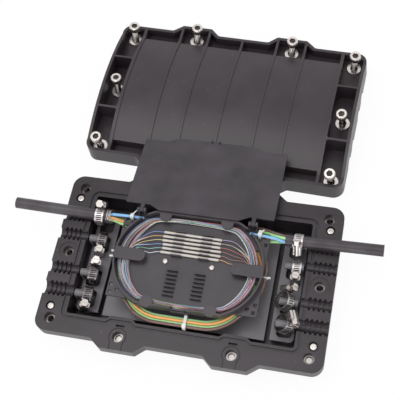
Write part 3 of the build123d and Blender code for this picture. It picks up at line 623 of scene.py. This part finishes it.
def knurl(tree, size):
    """Upright bars round a bolt's head, each with one edge outwards."""
    rim = add_node(
        tree,
        "GeometryNodeMeshCircle",
        {"Vertices": size["Knurls"], "Radius": size["Head Radius"]},
    )
    reach = add_node(
        tree, "ShaderNodeMath", {0: size["Ridge"], 1: BAR_SHARE}, operation="MULTIPLY"
    )
    bar = add_node(
        tree,
        "GeometryNodeMeshCylinder",
        {"Vertices": 4, "Radius": reach, "Depth": size["Head Height"]},
    )
    place = add_node(tree, "GeometryNodeInputPosition")
    outward = add_node(
        tree,
        "FunctionNodeAlignRotationToVector",
        {"Vector": place},
        axis="X",
        pivot_axis="Z",
    )
    bars = add_node(
        tree,
        "GeometryNodeInstanceOnPoints",
        {"Points": rim, "Instance": bar, "Rotation": outward},
    )
    half_head = add_node(
        tree, "ShaderNodeMath", {0: size["Head Height"], 1: 0.5}, operation="MULTIPLY"
    )
    middle = add_node(
        tree,
        "ShaderNodeMath",
        {0: size["Head Start"], 1: half_head},
        operation="ADD",
    )
    lift = add_node(tree, "ShaderNodeCombineXYZ", {"Z": middle})
    return add_node(
        tree, "GeometryNodeTransform", {"Geometry": bars, "Translation": lift}
    )


def copies_tree():
    """Smooth copies of one object, one on every mark."""
    tree, size = new_tree("leaning_copies", Object=["Blank"])
    blank = add_node(tree, "GeometryNodeObjectInfo", {"Object": size["Blank"]})
    smooth = add_node(
        tree, "GeometryNodeSetShadeSmooth", {"Geometry": blank.outputs["Geometry"]}
    )
    return copy_to_marks(tree, size, smooth)


def disc_tree():
    """Flat discs, one on every mark."""
    tree, size = new_tree("bore_end", Float=["Radius", "Thickness"], Int=["Sides"])
    disc = add_node(
        tree,
        "GeometryNodeMeshCylinder",
        {
            "Vertices": size["Sides"],
            "Radius": size["Radius"],
            "Depth": size["Thickness"],
        },
    )
    return copy_to_marks(tree, size, disc)


def marks(name, places, turns=None):
    """Points for an instancing tree, each with the turn of its instance."""
    mesh = bpy.data.meshes.new(name)
    mesh.from_pydata([tuple(place) for place in places], [], [])
    lean = mesh.attributes.new("lean", "FLOAT_VECTOR", "POINT")
    for number, turn in enumerate(turns or [(0, 0, 0)] * len(places)):
        lean.data[number].vector = tuple(turn)
    return mesh


# Closing bolts: place in the body and how far each head leans in the cover
BOLTS = (
    (-108.0, 60.5, 3.3, 1.3),
    (-47.0, 67.9, 3.8, 0.6),
    (47.0, 67.9, 2.0, -0.7),
    (108.0, 60.5, 0.8, -1.1),
    (108.0, 0.0, -1.2, -3.8),
    (108.0, -60.5, -1.2, -4.0),
    (-108.0, 0.0, 1.8, 1.5),
    (-108.0, -60.5, 1.0, -3.0),
    (-47.0, -67.9, 0.0, 0.0),
    (47.0, -67.9, 0.0, 0.0),
)
COVER_PLACE = Matrix.Translation((-2.17, 171.26, 0)) @ Matrix.Rotation(
    math.radians(-2.33), 4, "Z"
)
# A bolt turns about a point on its axis at this height, under this lever arm
BOLT_PIVOT = 3.85
BOLT_ARM = 27.15
BOLT_RADIUS = 3.0
BOLT_CORE = 2.55
BOLT_LENGTH = 25.0
BOLT_HEAD = 6.0
BOLT_FLATS = 5.0
BOLT_SOCKET = 3.2
BOLT_SIDES = 48
BOLT_THREAD_RADIUS = BOLT_CORE + 0.02
BOLT_THREAD_START = 0.7
BOLT_THREAD_LENGTH = BOLT_LENGTH - 1.6
KNURL_RADIUS = 4.78
KNURL_START = 0.3
KNURL_HEIGHT = BOLT_HEAD - 1.4
# Disc of painted shade on the floor of a bolt's socket
SOCKET_FLOOR = BOLT_LENGTH + BOLT_HEAD - BOLT_SOCKET + 0.7
SOCKET_RADIUS = 2.65
SOCKET_DEPTH = 1.2
# Threaded inserts of the base, of which those at the front look closed
CLOSED_BORES = ((-47.0, -67.9), (47.0, -67.9), (108.0, -60.5))
INSERT_LOW = 17.3
INSERT_TOP = 24.3
INSERT_BORE = 2.8
INSERT_THREAD_RADIUS = INSERT_BORE + 0.15
INSERT_THREAD_START = INSERT_LOW + 0.5
INSERT_THREAD_LENGTH = INSERT_TOP - INSERT_LOW - 1.0
BORE_END_RADIUS = INSERT_BORE + 0.05
BORE_END_HIGH = INSERT_TOP - 2.2
BORE_END_LOW = INSERT_LOW + 0.6
BORE_END_THICKNESS = 0.6
BORE_END_SIDES = 32


def bolt_turns(height=0.0):
    """Where each loose bolt's axis passes a height above its tip, and its turn."""
    places = []
    turns = []
    for x, y, lean_x, lean_y in BOLTS:
        lift = BOLT_RADIUS * math.hypot(lean_x, lean_y) / BOLT_ARM
        turn = (
            COVER_PLACE
            @ Matrix.Translation((x, y, BOLT_PIVOT + lift))
            @ Matrix.Rotation(-math.atan2(lean_y, BOLT_ARM), 4, "X")
            @ Matrix.Rotation(math.atan2(lean_x, BOLT_ARM), 4, "Y")
            @ Matrix.Translation((0, 0, height - BOLT_PIVOT))
        )
        places.append(turn.to_translation() * MM)
        turns.append(turn.to_euler("XYZ"))
    return places, turns


def ring_stack(name, rings, sides):
    """Closed shell as an object to copy, through rings of height and radius.

    A radius is a number or a function of the angle.
    """
    shape = bmesh.new()
    loops = []
    for height, radius in rings:
        loop = []
        for step in range(sides):
            angle = 2 * math.pi * step / sides
            reach = radius(angle) if callable(radius) else radius
            corner = (reach * math.cos(angle), reach * math.sin(angle), height)
            loop.append(shape.verts.new(Vector(corner) * MM))
        loops.append(loop)
    for low, high in zip(loops, loops[1:]):
        for step in range(sides):
            after = (step + 1) % sides
            shape.faces.new((low[step], low[after], high[after], high[step]))
    shape.faces.new(loops[0][::-1])
    shape.faces.new(loops[-1])
    mesh = bpy.data.meshes.new(name)
    shape.to_mesh(mesh)
    shape.free()
    blank = bpy.data.objects.new(name, mesh)
    bpy.context.scene.collection.objects.link(blank)
    return blank


def hexagon(flats):
    """Radius of a hexagon with this distance across its flats, by angle."""
    sector = math.pi / 3

    def radius(angle):
        return flats / 2 / math.cos((angle % sector) - sector / 2)

    return radius


def bolt_blank():
    """Bolt without its thread and knurl, standing on its tip."""
    top = BOLT_LENGTH + BOLT_HEAD
    rings = (
        (0.0, 2.0),
        (0.8, BOLT_CORE),
        (BOLT_LENGTH - 0.8, BOLT_CORE),
        (BOLT_LENGTH, BOLT_RADIUS),
        (BOLT_LENGTH + 0.01, 4.75),
        (BOLT_LENGTH + 0.3, 4.9),
        (top - 0.8, 4.9),
        (top - 0.25, 4.6),
        (top, 4.2),
        (top, hexagon(BOLT_FLATS + 0.5)),
        (top - 0.3, hexagon(BOLT_FLATS)),
        (top - BOLT_SOCKET, hexagon(BOLT_FLATS)),
    )
    return ring_stack("bolt_blank", rings, BOLT_SIDES)


# Clamp bands: CAD node, port Y, centre X, centre over the rim, inner radius, tilt
RIM = 28.3
CLAMPS = (
    ("clamp_band_left_1", 34.75, -86.9, 2.16, 7.5, 1.9),
    ("clamp_band_left_2", 15.75, -83.0, -6.85, 7.6, 14.0),
    ("clamp_band_left_3", -15.75, -83.0, -6.85, 7.6, 14.0),
    ("clamp_band_left_4", -34.75, -83.0, -6.85, 7.6, 14.0),
    ("clamp_band_right_1", 34.75, 86.0, 2.39, 7.5, -3.6),
    ("clamp_band_right_2", 15.75, 86.6, -7.7, 7.6, 4.0),
    ("clamp_band_right_3", -15.75, 81.5, -2.73, 7.9, 49.0),
    ("clamp_band_right_4", -34.75, 84.3, -3.17, 7.9, 46.0),
)
# Bands that get the darker copy of the steel, as painted shade
SHADED_CLAMPS = ("clamp_band_left_2", "clamp_band_left_3", "clamp_band_left_4")
# How far a slot leans round the band for each step across it
SLOT_SLANT = 0.18
# Heights over the rim between which a highlight is painted onto the clamp plates'
# tongues
TONGUE_HIGHLIGHT = (-6, -2)

# Inside of the tray's routing oval, in millimetres
TRAY_X = -0.8
TRAY_FLOOR = RIM + 7.0
OVAL_CENTRE = 18.0
OVAL_RADIUS = 43.6
OVAL_SIDE = 40.0
OVAL_ANGLES = (70, 52, 34, 16, 0, -16, -34, -52, -70)
SLEEVE_ROWS = (7.2, 10.8, 14.4, 18.0, 21.6, 25.2)
SLEEVE_END = 25.0
SLEEVE_LIFT = 1.3
SLEEVE_SIDES = 16
# A sleeve's radius by the distance from its end, and at its middle
SLEEVE_SHAPE = ((0.0, 0.75), (0.4, 1.12), (3.0, 1.2), (5.0, 1.06))
SLEEVE_WAIST = (0.0, 1.12)
# Middle of the rows and how far they reach from it
ROW_MIDDLE = 16.2
ROW_REACH = 9.0

# Left cable's mouth, and the wire wound round its jacket
PORT_Y = 34.75
CABLE_AXIS = RIM + 4.5
WIRE_RADIUS = 5.3
WIRE_START = -75.6
WIRE_STEP = 0.8
WIRE_TURNS = 6
# Loose ends of the wire: where they start along X and how far they reach
WIRE_ENDS = ((-74.6, 4.4), (-77.6, 3.0))

# Coating colours of the fibres, with how many loops and how many leads each has
STRANDS = (
    ("blue", "#6A90DE", 1, 3),
    ("orange", "#EBAC60", 1, 2),
    ("green", "#78C084", 1, 1),
    ("brown", "#9A6456", 2, 2),
    ("grey", "#A8A8AE", 2, 2),
    ("white", "#EEECEC", 3, 3),
    ("red", "#C24E42", 1, 2),
    ("yellow", "#E6D88C", 1, 2),
    ("violet", "#BAA2D8", 2, 1),
    ("teal", "#8CC8D0", 1, 1),
)


def loop_points(chance):
    """One lazy turn of fibre round the oval, in metres.

    The fibres crowd together under the four tabs of the long walls and spread
    out over the ends.
    """
    height = TRAY_FLOOR + chance.uniform(0.6, 4.2)
    near = chance.uniform(0.5, 3.4)
    points = []
    for end in (1, -1):
        deep = chance.uniform(1.6, 11.4)
        for angle in OVAL_ANGLES:
            turn = math.radians(angle)
            inset = near + (deep - near) * max(0.0, math.cos(turn)) ** 0.9
            radius = OVAL_RADIUS - inset
            limit = OVAL_SIDE - near
            x = OVAL_CENTRE + radius * math.cos(turn)
            y = max(-limit, min(limit, radius * math.sin(turn)))
            points.append((end * x, end * y))
    wave = [chance.uniform(-0.5, 0.5) for _ in points]
    return [
        Vector((TRAY_X + x, y, height + lift)) * MM
        for (x, y), lift in zip(points, wave)
    ]


def lead_points(chance, side, row):
    """A fibre from a sleeve's end that swings in with the loops."""
    start = SLEEVE_END - 1.5
    inset = chance.uniform(5.5, 9.5)
    # From -1 for the front sleeve to 1 for the back one
    bend = (row - ROW_MIDDLE) / ROW_REACH
    end = OVAL_CENTRE + OVAL_RADIUS - inset
    tail = OVAL_SIDE - chance.uniform(0.8, 2.6)
    route = (
        (start, row, 1.5),
        (start + 5.0, row + 0.1, 1.7 + chance.uniform(0, 0.4)),
        (start + 12.0 + bend, row - 0.8 - 1.2 * (1 - bend), 2.2),
        (end - 7.5 + 0.8 * bend, 11.0 + 3.0 * bend, 2.9),
        (end - 1.2, 1.5 + bend, 2.9),
        (end - 0.6, -11.0, 2.6),
        (end - 6.5, -23.0, 2.3),
        (end - 17.0, -33.0, 2.0),
        (end - 27.0, -tail, 1.8),
        (12.0, -tail - 0.3, 1.7),
        (0.0, -tail - 0.2, 1.6),
    )
    return [
        Vector((TRAY_X + side * x, y, TRAY_FLOOR + z)) * MM for x, y, z in route
    ]


def strand_curve(name, routes):
    """Smooth curve data with one NURBS spline for each route."""
    data = bpy.data.curves.new(name, "CURVE")
    data.dimensions = "3D"
    data.resolution_u = 6
    for points, closed in routes:
        spline = data.splines.new("NURBS")
        spline.points.add(len(points) - 1)
        for point, place in zip(spline.points, points):
            point.co = (*place, 1.0)
        spline.order_u = 3
        spline.use_cyclic_u = closed
        spline.use_endpoint_u = not closed
    return data


def round_strands(name, routes, diameter, sides, material):
    """Strands along routes, each with its points and whether it closes."""
    return grow(
        name,
        strand_curve(name, routes),
        bpy.data.node_groups.get("round_strand") or strand_tree(),
        Diameter=diameter,
        Sides=sides,
        Material=material,
    )


# Prongs and sill of the catch in the tray's front wall, in millimetres over the rim
CATCH = (
    ((-6.2, -38.6, 8.0), (-6.2, -39.4, 11.2), (-6.2, -41.6, 11.6), (-6.2, -42.4, 9.4)),
    ((4.6, -38.6, 8.0), (4.6, -39.4, 11.0), (4.6, -41.6, 11.3), (4.6, -42.4, 9.4)),
    ((-7.0, -42.3, 9.2), (-0.8, -42.3, 9.0), (6.4, -42.3, 9.2)),
)
# Tails of the ties, as points in millimetres over the rim
TIE_TAILS = (
    ((-57, 33.6, 11.0), (-56, 36.5, 12.6), (-54, 40.5, 11.8), (-50.5, 43.5, 10.6)),
    ((53.6, 33.0, 11.0), (54.6, 35.6, 12.4), (56.6, 38.0, 11.6)),
)
# Ties round the coil at its ends: X of the two sides, Y, heights over the rim
COIL_TIES = (
    (-64.9, -55.4, 4.2, -6.0, 4.4),
    (-64.9, -55.4, -0.6, -6.0, 4.4),
    (55.4, 64.9, -0.5, -1.2, 4.4),
)
# Heads and cut tails of the coil's ties, as points in millimetres over the rim
TIE_HEADS = (
    ((-64.6, 4.2, 4.0), (-69.0, 4.2, 4.6)),
    ((-64.6, -0.6, 4.0), (-69.5, -0.6, 4.4)),
    ((64.6, -0.5, 3.8), (67.8, -0.5, 4.4)),
)


def over_rim(*places):
    """Points given in millimetres with heights over the rim, in metres."""
    return [Vector((x, y, RIM + z)) * MM for x, y, z in places]


def coil_tie(x0, x1, y, low, high):
    """Rounded loop about the coil, square to the tubes."""
    corner = 1.0
    route = (
        (x0, low + corner),
        (x0, high - corner),
        (x0 + corner, high),
        (x1 - corner, high),
        (x1, high - corner),
        (x1, low + corner),
        (x1 - corner, low),
        (x0 + corner, low),
    )
    return over_rim(*((x, y, z) for x, z in route))


def wire_routes(chance):
    """Untidy turns of wire over the jacket's end, with two loose ends."""
    turns = []
    for number in range(WIRE_TURNS):
        x = WIRE_START - WIRE_STEP * number + chance.uniform(-0.3, 0.3)
        skew = chance.uniform(-1.3, 1.3)
        reach = WIRE_RADIUS + chance.uniform(0.1, 1.2)
        loop = []
        for degrees in range(0, 360, 30):
            angle = math.radians(degrees)
            side = math.cos(angle)
            place = (
                x + skew * side,
                PORT_Y + reach * math.sin(angle),
                CABLE_AXIS + reach * side,
            )
            loop.append(Vector(place) * MM)
        turns.append((loop, True))
    for start, reach in WIRE_ENDS:
        tail = [
            (start, PORT_Y - WIRE_RADIUS, CABLE_AXIS + 1.5),
            (start + 0.4 * reach, PORT_Y - WIRE_RADIUS - 0.6, CABLE_AXIS + 3.2),
            (start + reach, PORT_Y - WIRE_RADIUS + 1.4, CABLE_AXIS + 3.8),
        ]
        turns.append(([Vector(place) * MM for place in tail], False))
    return turns


# Camera solved from the outline that the base and the cover share, in metres
CAMERA_PLACE = (0.1425, -0.25194, 0.70596)
CAMERA_RIGHT = Vector((0.97321, 0.19614, -0.11994))
CAMERA_UP = Vector((-0.12489, 0.88904, 0.44047))
# Square soft boxes: place and side in metres, power in watts
LAMPS = (
    ("key", (-0.24, -0.02, 1.2), 0.7, 3.4),
    ("fill", (0.1, -1.1, 0.16), 0.8, 5.0),
)
LAMP_AIM = Vector((0, 0.08, 0))
WORLD_STRENGTH = 0.85
FLOOR_HEIGHT = -0.2 * MM
# Share of pure white in the floor's paint; the rest of it shows the shadows
FLOOR_GLOW = 0.93


class ClosureOperator(bpy.types.Operator):
    """Base of the operators that dress the closure."""

    bl_options = {"REGISTER", "UNDO"}


class CLOSURE_OT_stage(ClosureOperator):
    """Set the floor, the soft light and the camera"""

    bl_idname = "closure.stage"
    bl_label = "Stage"

    def execute(self, context):
        scene = context.scene
        settings = scene.closure_stage
        scene.view_settings.view_transform = "Standard"
        data = bpy.data.cameras.new("camera")
        data.lens = settings.focal_length
        data.sensor_width = 36
        data.clip_end = 20
        camera = bpy.data.objects.new("camera", data)
        scene.collection.objects.link(camera)
        back = CAMERA_RIGHT.cross(CAMERA_UP)
        turn = Matrix((CAMERA_RIGHT, CAMERA_UP, back)).transposed().to_4x4()
        camera.matrix_world = Matrix.Translation(CAMERA_PLACE) @ turn
        scene.camera = camera

        half = settings.floor_size / 2
        corners = [
            (x * half, y * half, FLOOR_HEIGHT)
            for x, y in ((-1, -1), (1, -1), (1, 1), (-1, 1))
        ]
        mesh = bpy.data.meshes.new("floor")
        mesh.from_pydata(corners, [], [(0, 1, 2, 3)])
        mesh.materials.append(self.floor_paint(settings))
        floor = bpy.data.objects.new("floor", mesh)
        scene.collection.objects.link(floor)

        world = bpy.data.worlds.new("studio")
        world.use_nodes = True
        scene.world = world
        tree = world.node_tree
        sky = tree.nodes["Background"]
        sky.inputs["Color"].default_value = WHITE
        sky.inputs["Strength"].default_value = WORLD_STRENGTH
        white = add_node(tree, "ShaderNodeBackground", {"Color": WHITE, "Strength": 1})
        mix = add_node(
            tree,
            "ShaderNodeMixShader",
            {0: self.seen_directly(tree), 1: sky, 2: white},
        )
        tree.links.new(mix.outputs[0], tree.nodes["World Output"].inputs["Surface"])
        for lamp in LAMPS:
            self.lamp(scene, *lamp)
        return {"FINISHED"}

    def seen_directly(self, tree):
        """1 for camera, mirror and glass rays, else 0."""
        ray = add_node(tree, "ShaderNodeLightPath").outputs
        seen = ray["Is Camera Ray"]
        for kind in ("Is Glossy Ray", "Is Transmission Ray"):
            seen = add_node(
                tree, "ShaderNodeMath", {0: seen, 1: ray[kind]}, operation="MAXIMUM"
            )
        return seen

    def floor_paint(self, settings):
        """Matt white paint that stays white to the eye but keeps a faint shadow."""
        material, tree, shader = new_surface(
            "white_floor_paint", Roughness=0.9, Base_Color=settings.floor
        )
        glow = add_node(tree, "ShaderNodeEmission", {"Strength": 1.0})
        share = add_node(
            tree,
            "ShaderNodeMath",
            {0: self.seen_directly(tree), 1: FLOOR_GLOW},
            operation="MULTIPLY",
        )
        mix = add_node(tree, "ShaderNodeMixShader", {0: share, 1: shader, 2: glow})
        out = tree.nodes["Material Output"]
        tree.links.new(mix.outputs[0], out.inputs["Surface"])
        return material

    def lamp(self, scene, name, place, size, power):
        """Square soft box that faces the middle of the object."""
        data = bpy.data.lights.new(name, "AREA")
        data.size = size
        data.energy = power
        lamp = bpy.data.objects.new(name, data)
        scene.collection.objects.link(lamp)
        place = Vector(place)
        turn = (place - LAMP_AIM).to_track_quat("Z", "Y").to_matrix().to_4x4()
        lamp.matrix_world = Matrix.Translation(place) @ turn


class CLOSURE_OT_mouldings(ClosureOperator):
    """Finish the base, the cover, the platform, the tray and its lid"""

    bl_idname = "closure.mouldings"
    bl_label = "Mouldings"

    def execute(self, context):
        look = context.scene.closure_plastic
        # Moulded polypropylene: charcoal, with flow streaks only on the base
        for half, dark, pale, streak in (
            ("base", look.base, look.base_pale, 0.3),
            ("cover", look.cover, look.cover_pale, 1.0),
        ):
            shell = moulded_plastic(
                f"black_polypropylene_{half}",
                dark,
                pale,
                look.grain,
                roughness=0.34,
                dust=look.dust,
                streak=streak,
                edge=CRISP_EDGE,
            )
            dress(shell, f"{half}_shell")
        # Moulded ABS: a shade shinier than the shells, dusty, rubbed by handling
        tray = moulded_plastic(
            "moulded_black_abs",
            look.tray,
            look.tray_pale,
            look.grain,
            roughness=0.3,
            dust=look.dust,
        )
        dress(tray, "splice_tray")
        # Black without grain, so that the thin prongs stay dark
        black = extruded_plastic(
            "black_catch_plastic", look.base, roughness=0.35, pale=0.04
        )
        prongs = [(over_rim(*prong), False) for prong in CATCH]
        catch = round_strands(
            "tray_catch", prongs, diameter=1.3 * MM, sides=4, material=black
        )
        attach(catch, "closure")
        # Charcoal ABS: paler than the tray, because it lies in the tray's shade
        platform = moulded_plastic(
            "moulded_charcoal_abs", look.platform, look.plate, look.grain, roughness=0.3
        )
        dress(platform, "storage_platform")
        # Matt sheet: hardly a highlight, only cloudy scuffs
        lid = moulded_plastic(
            "matt_black_sheet", look.lid, look.lid_pale, look.grain, roughness=0.5
        )
        dress(lid, "tray_lid")
        # Powder coat: an even satin skin, with a highlight painted on top of the
        # tongues
        plate = moulded_plastic(
            "black_powder_coat", look.plate, look.platform, look.grain, roughness=0.28
        )
        low, high = ((RIM + height) * MM for height in TONGUE_HIGHLIGHT)
        tint_by_height(plate, low, high, look.tongue)
        dress(plate, "clamp_plate_left", "clamp_plate_right")
        return {"FINISHED"}


class CLOSURE_OT_fasteners(ClosureOperator):
    """Finish the bolts, washers, screws and threaded inserts"""

    bl_idname = "closure.fasteners"
    bl_label = "Fasteners"

    def execute(self, context):
        metal = context.scene.closure_metal
        # Zinc plating: bright, with clear dark and white reflections
        zinc = plated_metal("zinc_plated_steel", metal.zinc, roughness=0.24)
        dress(
            zinc, "cover_washers", "corner_screws", "tray_screws", "clamp_worm_screws"
        )
        # Nickel plating: darker and more of a mirror, so the bores look deep
        nickel = plated_metal("nickel_plated_brass", metal.insert, roughness=0.14)
        dress(nickel, "base_inserts")
        blank = bolt_blank()
        bolts = grow(
            "threaded_bolts",
            marks("bolt_marks", *bolt_turns()),
            thread_tree(True),
            Radius=BOLT_THREAD_RADIUS * MM,
            Length=BOLT_THREAD_LENGTH * MM,
            Start=BOLT_THREAD_START * MM,
            Pitch=metal.thread_pitch,
            Ridge=metal.thread_ridge,
            Head_Radius=KNURL_RADIUS * MM,
            Head_Height=KNURL_HEIGHT * MM,
            Head_Start=(BOLT_LENGTH + KNURL_START) * MM,
            Knurls=metal.knurl_count,
            Blank=blank,
            Material=zinc,
        )
        bpy.data.objects.remove(blank)
        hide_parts("cover_bolts")
        # Painted shade: a dull brown black disc in each socket and deep in each open
        # bore, where there is only shade
        socket_and_bore_shade = extruded_plastic("oily_dust", metal.socket_and_bore_shade, roughness=0.7, pale=0.05)
        floors = grow(
            "socket_floors",
            marks("socket_marks", *bolt_turns(SOCKET_FLOOR)),
            disc_tree(),
            Radius=SOCKET_RADIUS * MM,
            Thickness=SOCKET_DEPTH * MM,
            Sides=6,
            Material=socket_and_bore_shade,
        )
        thread = grow(
            "insert_threads",
            marks("insert_marks", [Vector((x, y, 0)) * MM for x, y, _, _ in BOLTS]),
            thread_tree(False),
            Radius=INSERT_THREAD_RADIUS * MM,
            Length=INSERT_THREAD_LENGTH * MM,
            Start=INSERT_THREAD_START * MM,
            Pitch=metal.thread_pitch,
            Ridge=metal.thread_ridge,
            Material=nickel,
        )
        # Open bores get a disc of painted shade deep down; the closed ones get a pale
        # brass end
        open_bores = [(x, y) for x, y, _, _ in BOLTS if (x, y) not in CLOSED_BORES]
        # Turned brass: pale and softly blurred, as it lies just under the flange
        brass = plated_metal("turned_brass_end", metal.bore, roughness=0.34)
        dark, closed = (
            grow(
                name,
                marks(name, [Vector((x, y, height)) * MM for x, y in places]),
                disc_tree(),
                Radius=BORE_END_RADIUS * MM,
                Thickness=BORE_END_THICKNESS * MM,
                Sides=BORE_END_SIDES,
                Material=material,
            )
            for name, places, height, material in (
                ("dark_bore_ends", open_bores, BORE_END_LOW, socket_and_bore_shade),
                ("insert_ends", CLOSED_BORES, BORE_END_HIGH, brass),
            )
        )
        for piece, slot in (
            (bolts, "screw_metal"),
            (floors, "screw_metal"),
            (thread, "insert_metal"),
            (closed, "insert_metal"),
            (dark, "insert_metal"),
        ):
            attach(piece, "closure")
        return {"FINISHED"}


class CLOSURE_OT_clamps(ClosureOperator):
    """Roll the punched clamp bands and finish their housings"""

    bl_idname = "closure.clamps"
    bl_label = "Clamps"

    def execute(self, context):
        metal = context.scene.closure_metal
        # Pressed stainless: glints along the rolled edges and between the slots
        steel = plated_metal(
            "pressed_stainless_steel", metal.steel, roughness=0.28, edge=SHEET_EDGE
        )
        dress(steel, "clamp_housings")
        # Painted shade: a darker copy of the stainless for the spare bands at the left,
        # which hang in the shade
        shaded_stainless = plated_metal(
            "tarnished_stainless_steel", metal.shaded_stainless, roughness=0.2, edge=SHEET_EDGE
        )
        tree = band_tree()
        for node, y, x, z, radius, tilt in CLAMPS:
            band = grow(
                node.replace("clamp_band", "punched_band"),
                bpy.data.meshes.new("band_seed"),
                tree,
                Radius=radius * MM,
                Width=metal.band_width,
                Thickness=metal.band_thickness,
                Slots=metal.slot_count,
                Slot_Length=metal.slot_length,
                Slant=SLOT_SLANT,
                Place=Vector((x, y, RIM + z)) * MM,
                Turn=Euler((0, math.radians(tilt), 0)),
                Material=shaded_stainless if node in SHADED_CLAMPS else steel,
            )
            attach(band, "closure")
            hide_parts(node)
        return {"FINISHED"}


class CLOSURE_OT_fibres(ClosureOperator):
    """Lay the coloured fibres in the tray"""

    bl_idname = "closure.fibres"
    bl_label = "Fibres"

    def execute(self, context):
        look = context.scene.closure_fibre
        chance = random.Random(look.seed)
        leads = [(side, row) for row in SLEEVE_ROWS for side in (-1, 1)] * 2
        chance.shuffle(leads)
        for name, tint, loops, count in STRANDS:
            routes = [(loop_points(chance), True) for _ in range(loops)]
            for _ in range(count):
                side, row = leads.pop()
                routes.append((lead_points(chance, side, row), False))
            # Cured acrylate coating: pastel, with a fine line of gloss on each strand
            coat = extruded_plastic(
                f"{name}_fibre_coating", linear(tint), roughness=0.35
            )
            strands = round_strands(
                f"fibres_{name}", routes, look.strand_diameter, sides=6, material=coat
            )
            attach(strands, "closure")
            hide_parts("fibre_bed")
        return {"FINISHED"}


class CLOSURE_OT_tubes(ClosureOperator):
    """Finish the cables, the buffer tubes, the sleeves and the ties"""

    bl_idname = "closure.tubes"
    bl_label = "Cables and tubes"

    def execute(self, context):
        look = context.scene.closure_fibre
        plastic = context.scene.closure_plastic
        metal = context.scene.closure_metal
        # Extruded polyethylene: smoother than the shells, with a soft long highlight
        jacket = moulded_plastic(
            "extruded_black_polyethylene",
            plastic.cable,
            plastic.cover,
            grain=0.8 * MM,
            roughness=0.4,
            depth=0.01 * MM,
        )
        dress(jacket, "cable_left", "cable_right")
        # Buffer tubes: clear strong colours under a waxy gloss
        for name, tint, nodes in (
            ("blue", look.blue_tube, ("blue_tube_left", "blue_tube_right")),
            ("green", look.green_tube, ("green_tube_inner", "green_tube_outer")),
            ("orange", look.orange_tube, ("orange_tube",)),
            ("brown", look.brown_tube, ("brown_tube",)),
        ):
            dress(extruded_plastic(f"{name}_buffer_tube", tint, roughness=0.3), *nodes)
        # Moulded nylon: milky white, the brightest thing beside the metal
        nylon = extruded_plastic("white_nylon", look.nylon, roughness=0.4)
        dress(nylon, "tube_ties")
        for name, routes, thickness in (
            ("tie_tails", [(over_rim(*tail), False) for tail in TIE_TAILS], 1.3),
            ("coil_ties", [(coil_tie(*tie), True) for tie in COIL_TIES], 1.1),
            ("tie_heads", [(over_rim(*head), False) for head in TIE_HEADS], 2.2),
        ):
            tie = round_strands(name, routes, thickness * MM, sides=4, material=nylon)
            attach(tie, "closure")
        self.sleeves(look)
        # Drawn steel: thin bright lines that break up where the turns cross
        drawn = plated_metal("drawn_steel_wire", metal.zinc, roughness=0.3)
        turns = wire_routes(random.Random(look.seed))
        wire = round_strands(
            "wrapped_wires", turns, diameter=0.5 * MM, sides=8, material=drawn
        )
        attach(wire, "closure")
        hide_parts("strength_wires")
        return {"FINISHED"}

    def sleeves(self, look):
        """Shrunk sleeves: waisted rods that lie a little askew in the comb."""
        chance = random.Random(look.seed)
        end = [(SLEEVE_END - depth, radius) for depth, radius in SLEEVE_SHAPE]
        start = [(-height, radius) for height, radius in end]
        rings = (*start, SLEEVE_WAIST, *reversed(end))
        places = []
        turns = []
        for row in SLEEVE_ROWS:
            shift = chance.uniform(-1.2, 1.2)
            places.append(Vector((TRAY_X + shift, row, TRAY_FLOOR + SLEEVE_LIFT)) * MM)
            yaw = math.radians(chance.uniform(-0.7, 0.7))
            turns.append((0, math.radians(90), yaw))
        blank = ring_stack("sleeve", rings, SLEEVE_SIDES)
        # Shrunk polyolefin: milky, with a sharp highlight along each rod
        milky = extruded_plastic(
            "heat_shrunk_sleeve", look.sleeve, roughness=0.22, pale=0.3
        )
        rods = grow(
            "shrunk_sleeves",
            marks("sleeve_marks", places, turns),
            copies_tree(),
            Blank=blank,
            Material=milky,
        )
        bpy.data.objects.remove(blank)
        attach(rods, "closure")
        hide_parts("splice_sleeves")


class CLOSURE_PT_panel(bpy.types.Panel):
    """Lists the steps that dress the closure"""

    bl_idname = "CLOSURE_PT_panel"
    bl_label = "Splice closure"
    bl_space_type = "VIEW_3D"
    bl_region_type = "UI"
    bl_category = "Closure"

    def draw(self, context):
        for operator in OPERATORS:
            self.layout.operator(operator.bl_idname)


OPERATORS = (
    CLOSURE_OT_stage,
    CLOSURE_OT_mouldings,
    CLOSURE_OT_fasteners,
    CLOSURE_OT_clamps,
    CLOSURE_OT_fibres,
    CLOSURE_OT_tubes,
)
SETTINGS = (
    ("closure_plastic", PlasticSettings),
    ("closure_metal", MetalSettings),
    ("closure_fibre", FibreSettings),
    ("closure_stage", StageSettings),
)


def register():
    for name, group in SETTINGS:
        bpy.utils.register_class(group)
        setattr(bpy.types.Scene, name, PointerProperty(type=group))
    for kind in (*OPERATORS, CLOSURE_PT_panel):
        bpy.utils.register_class(kind)


def unregister():
    for kind in (CLOSURE_PT_panel, *reversed(OPERATORS)):
        bpy.utils.unregister_class(kind)
    for name, group in reversed(SETTINGS):
        delattr(bpy.types.Scene, name)
        bpy.utils.unregister_class(group)


def main():
    register()
    bpy.ops.closure.stage()
    bpy.ops.closure.mouldings()
    bpy.ops.closure.fasteners()
    bpy.ops.closure.clamps()
    bpy.ops.closure.fibres()
    bpy.ops.closure.tubes()


if __name__ == "__main__":
    main()
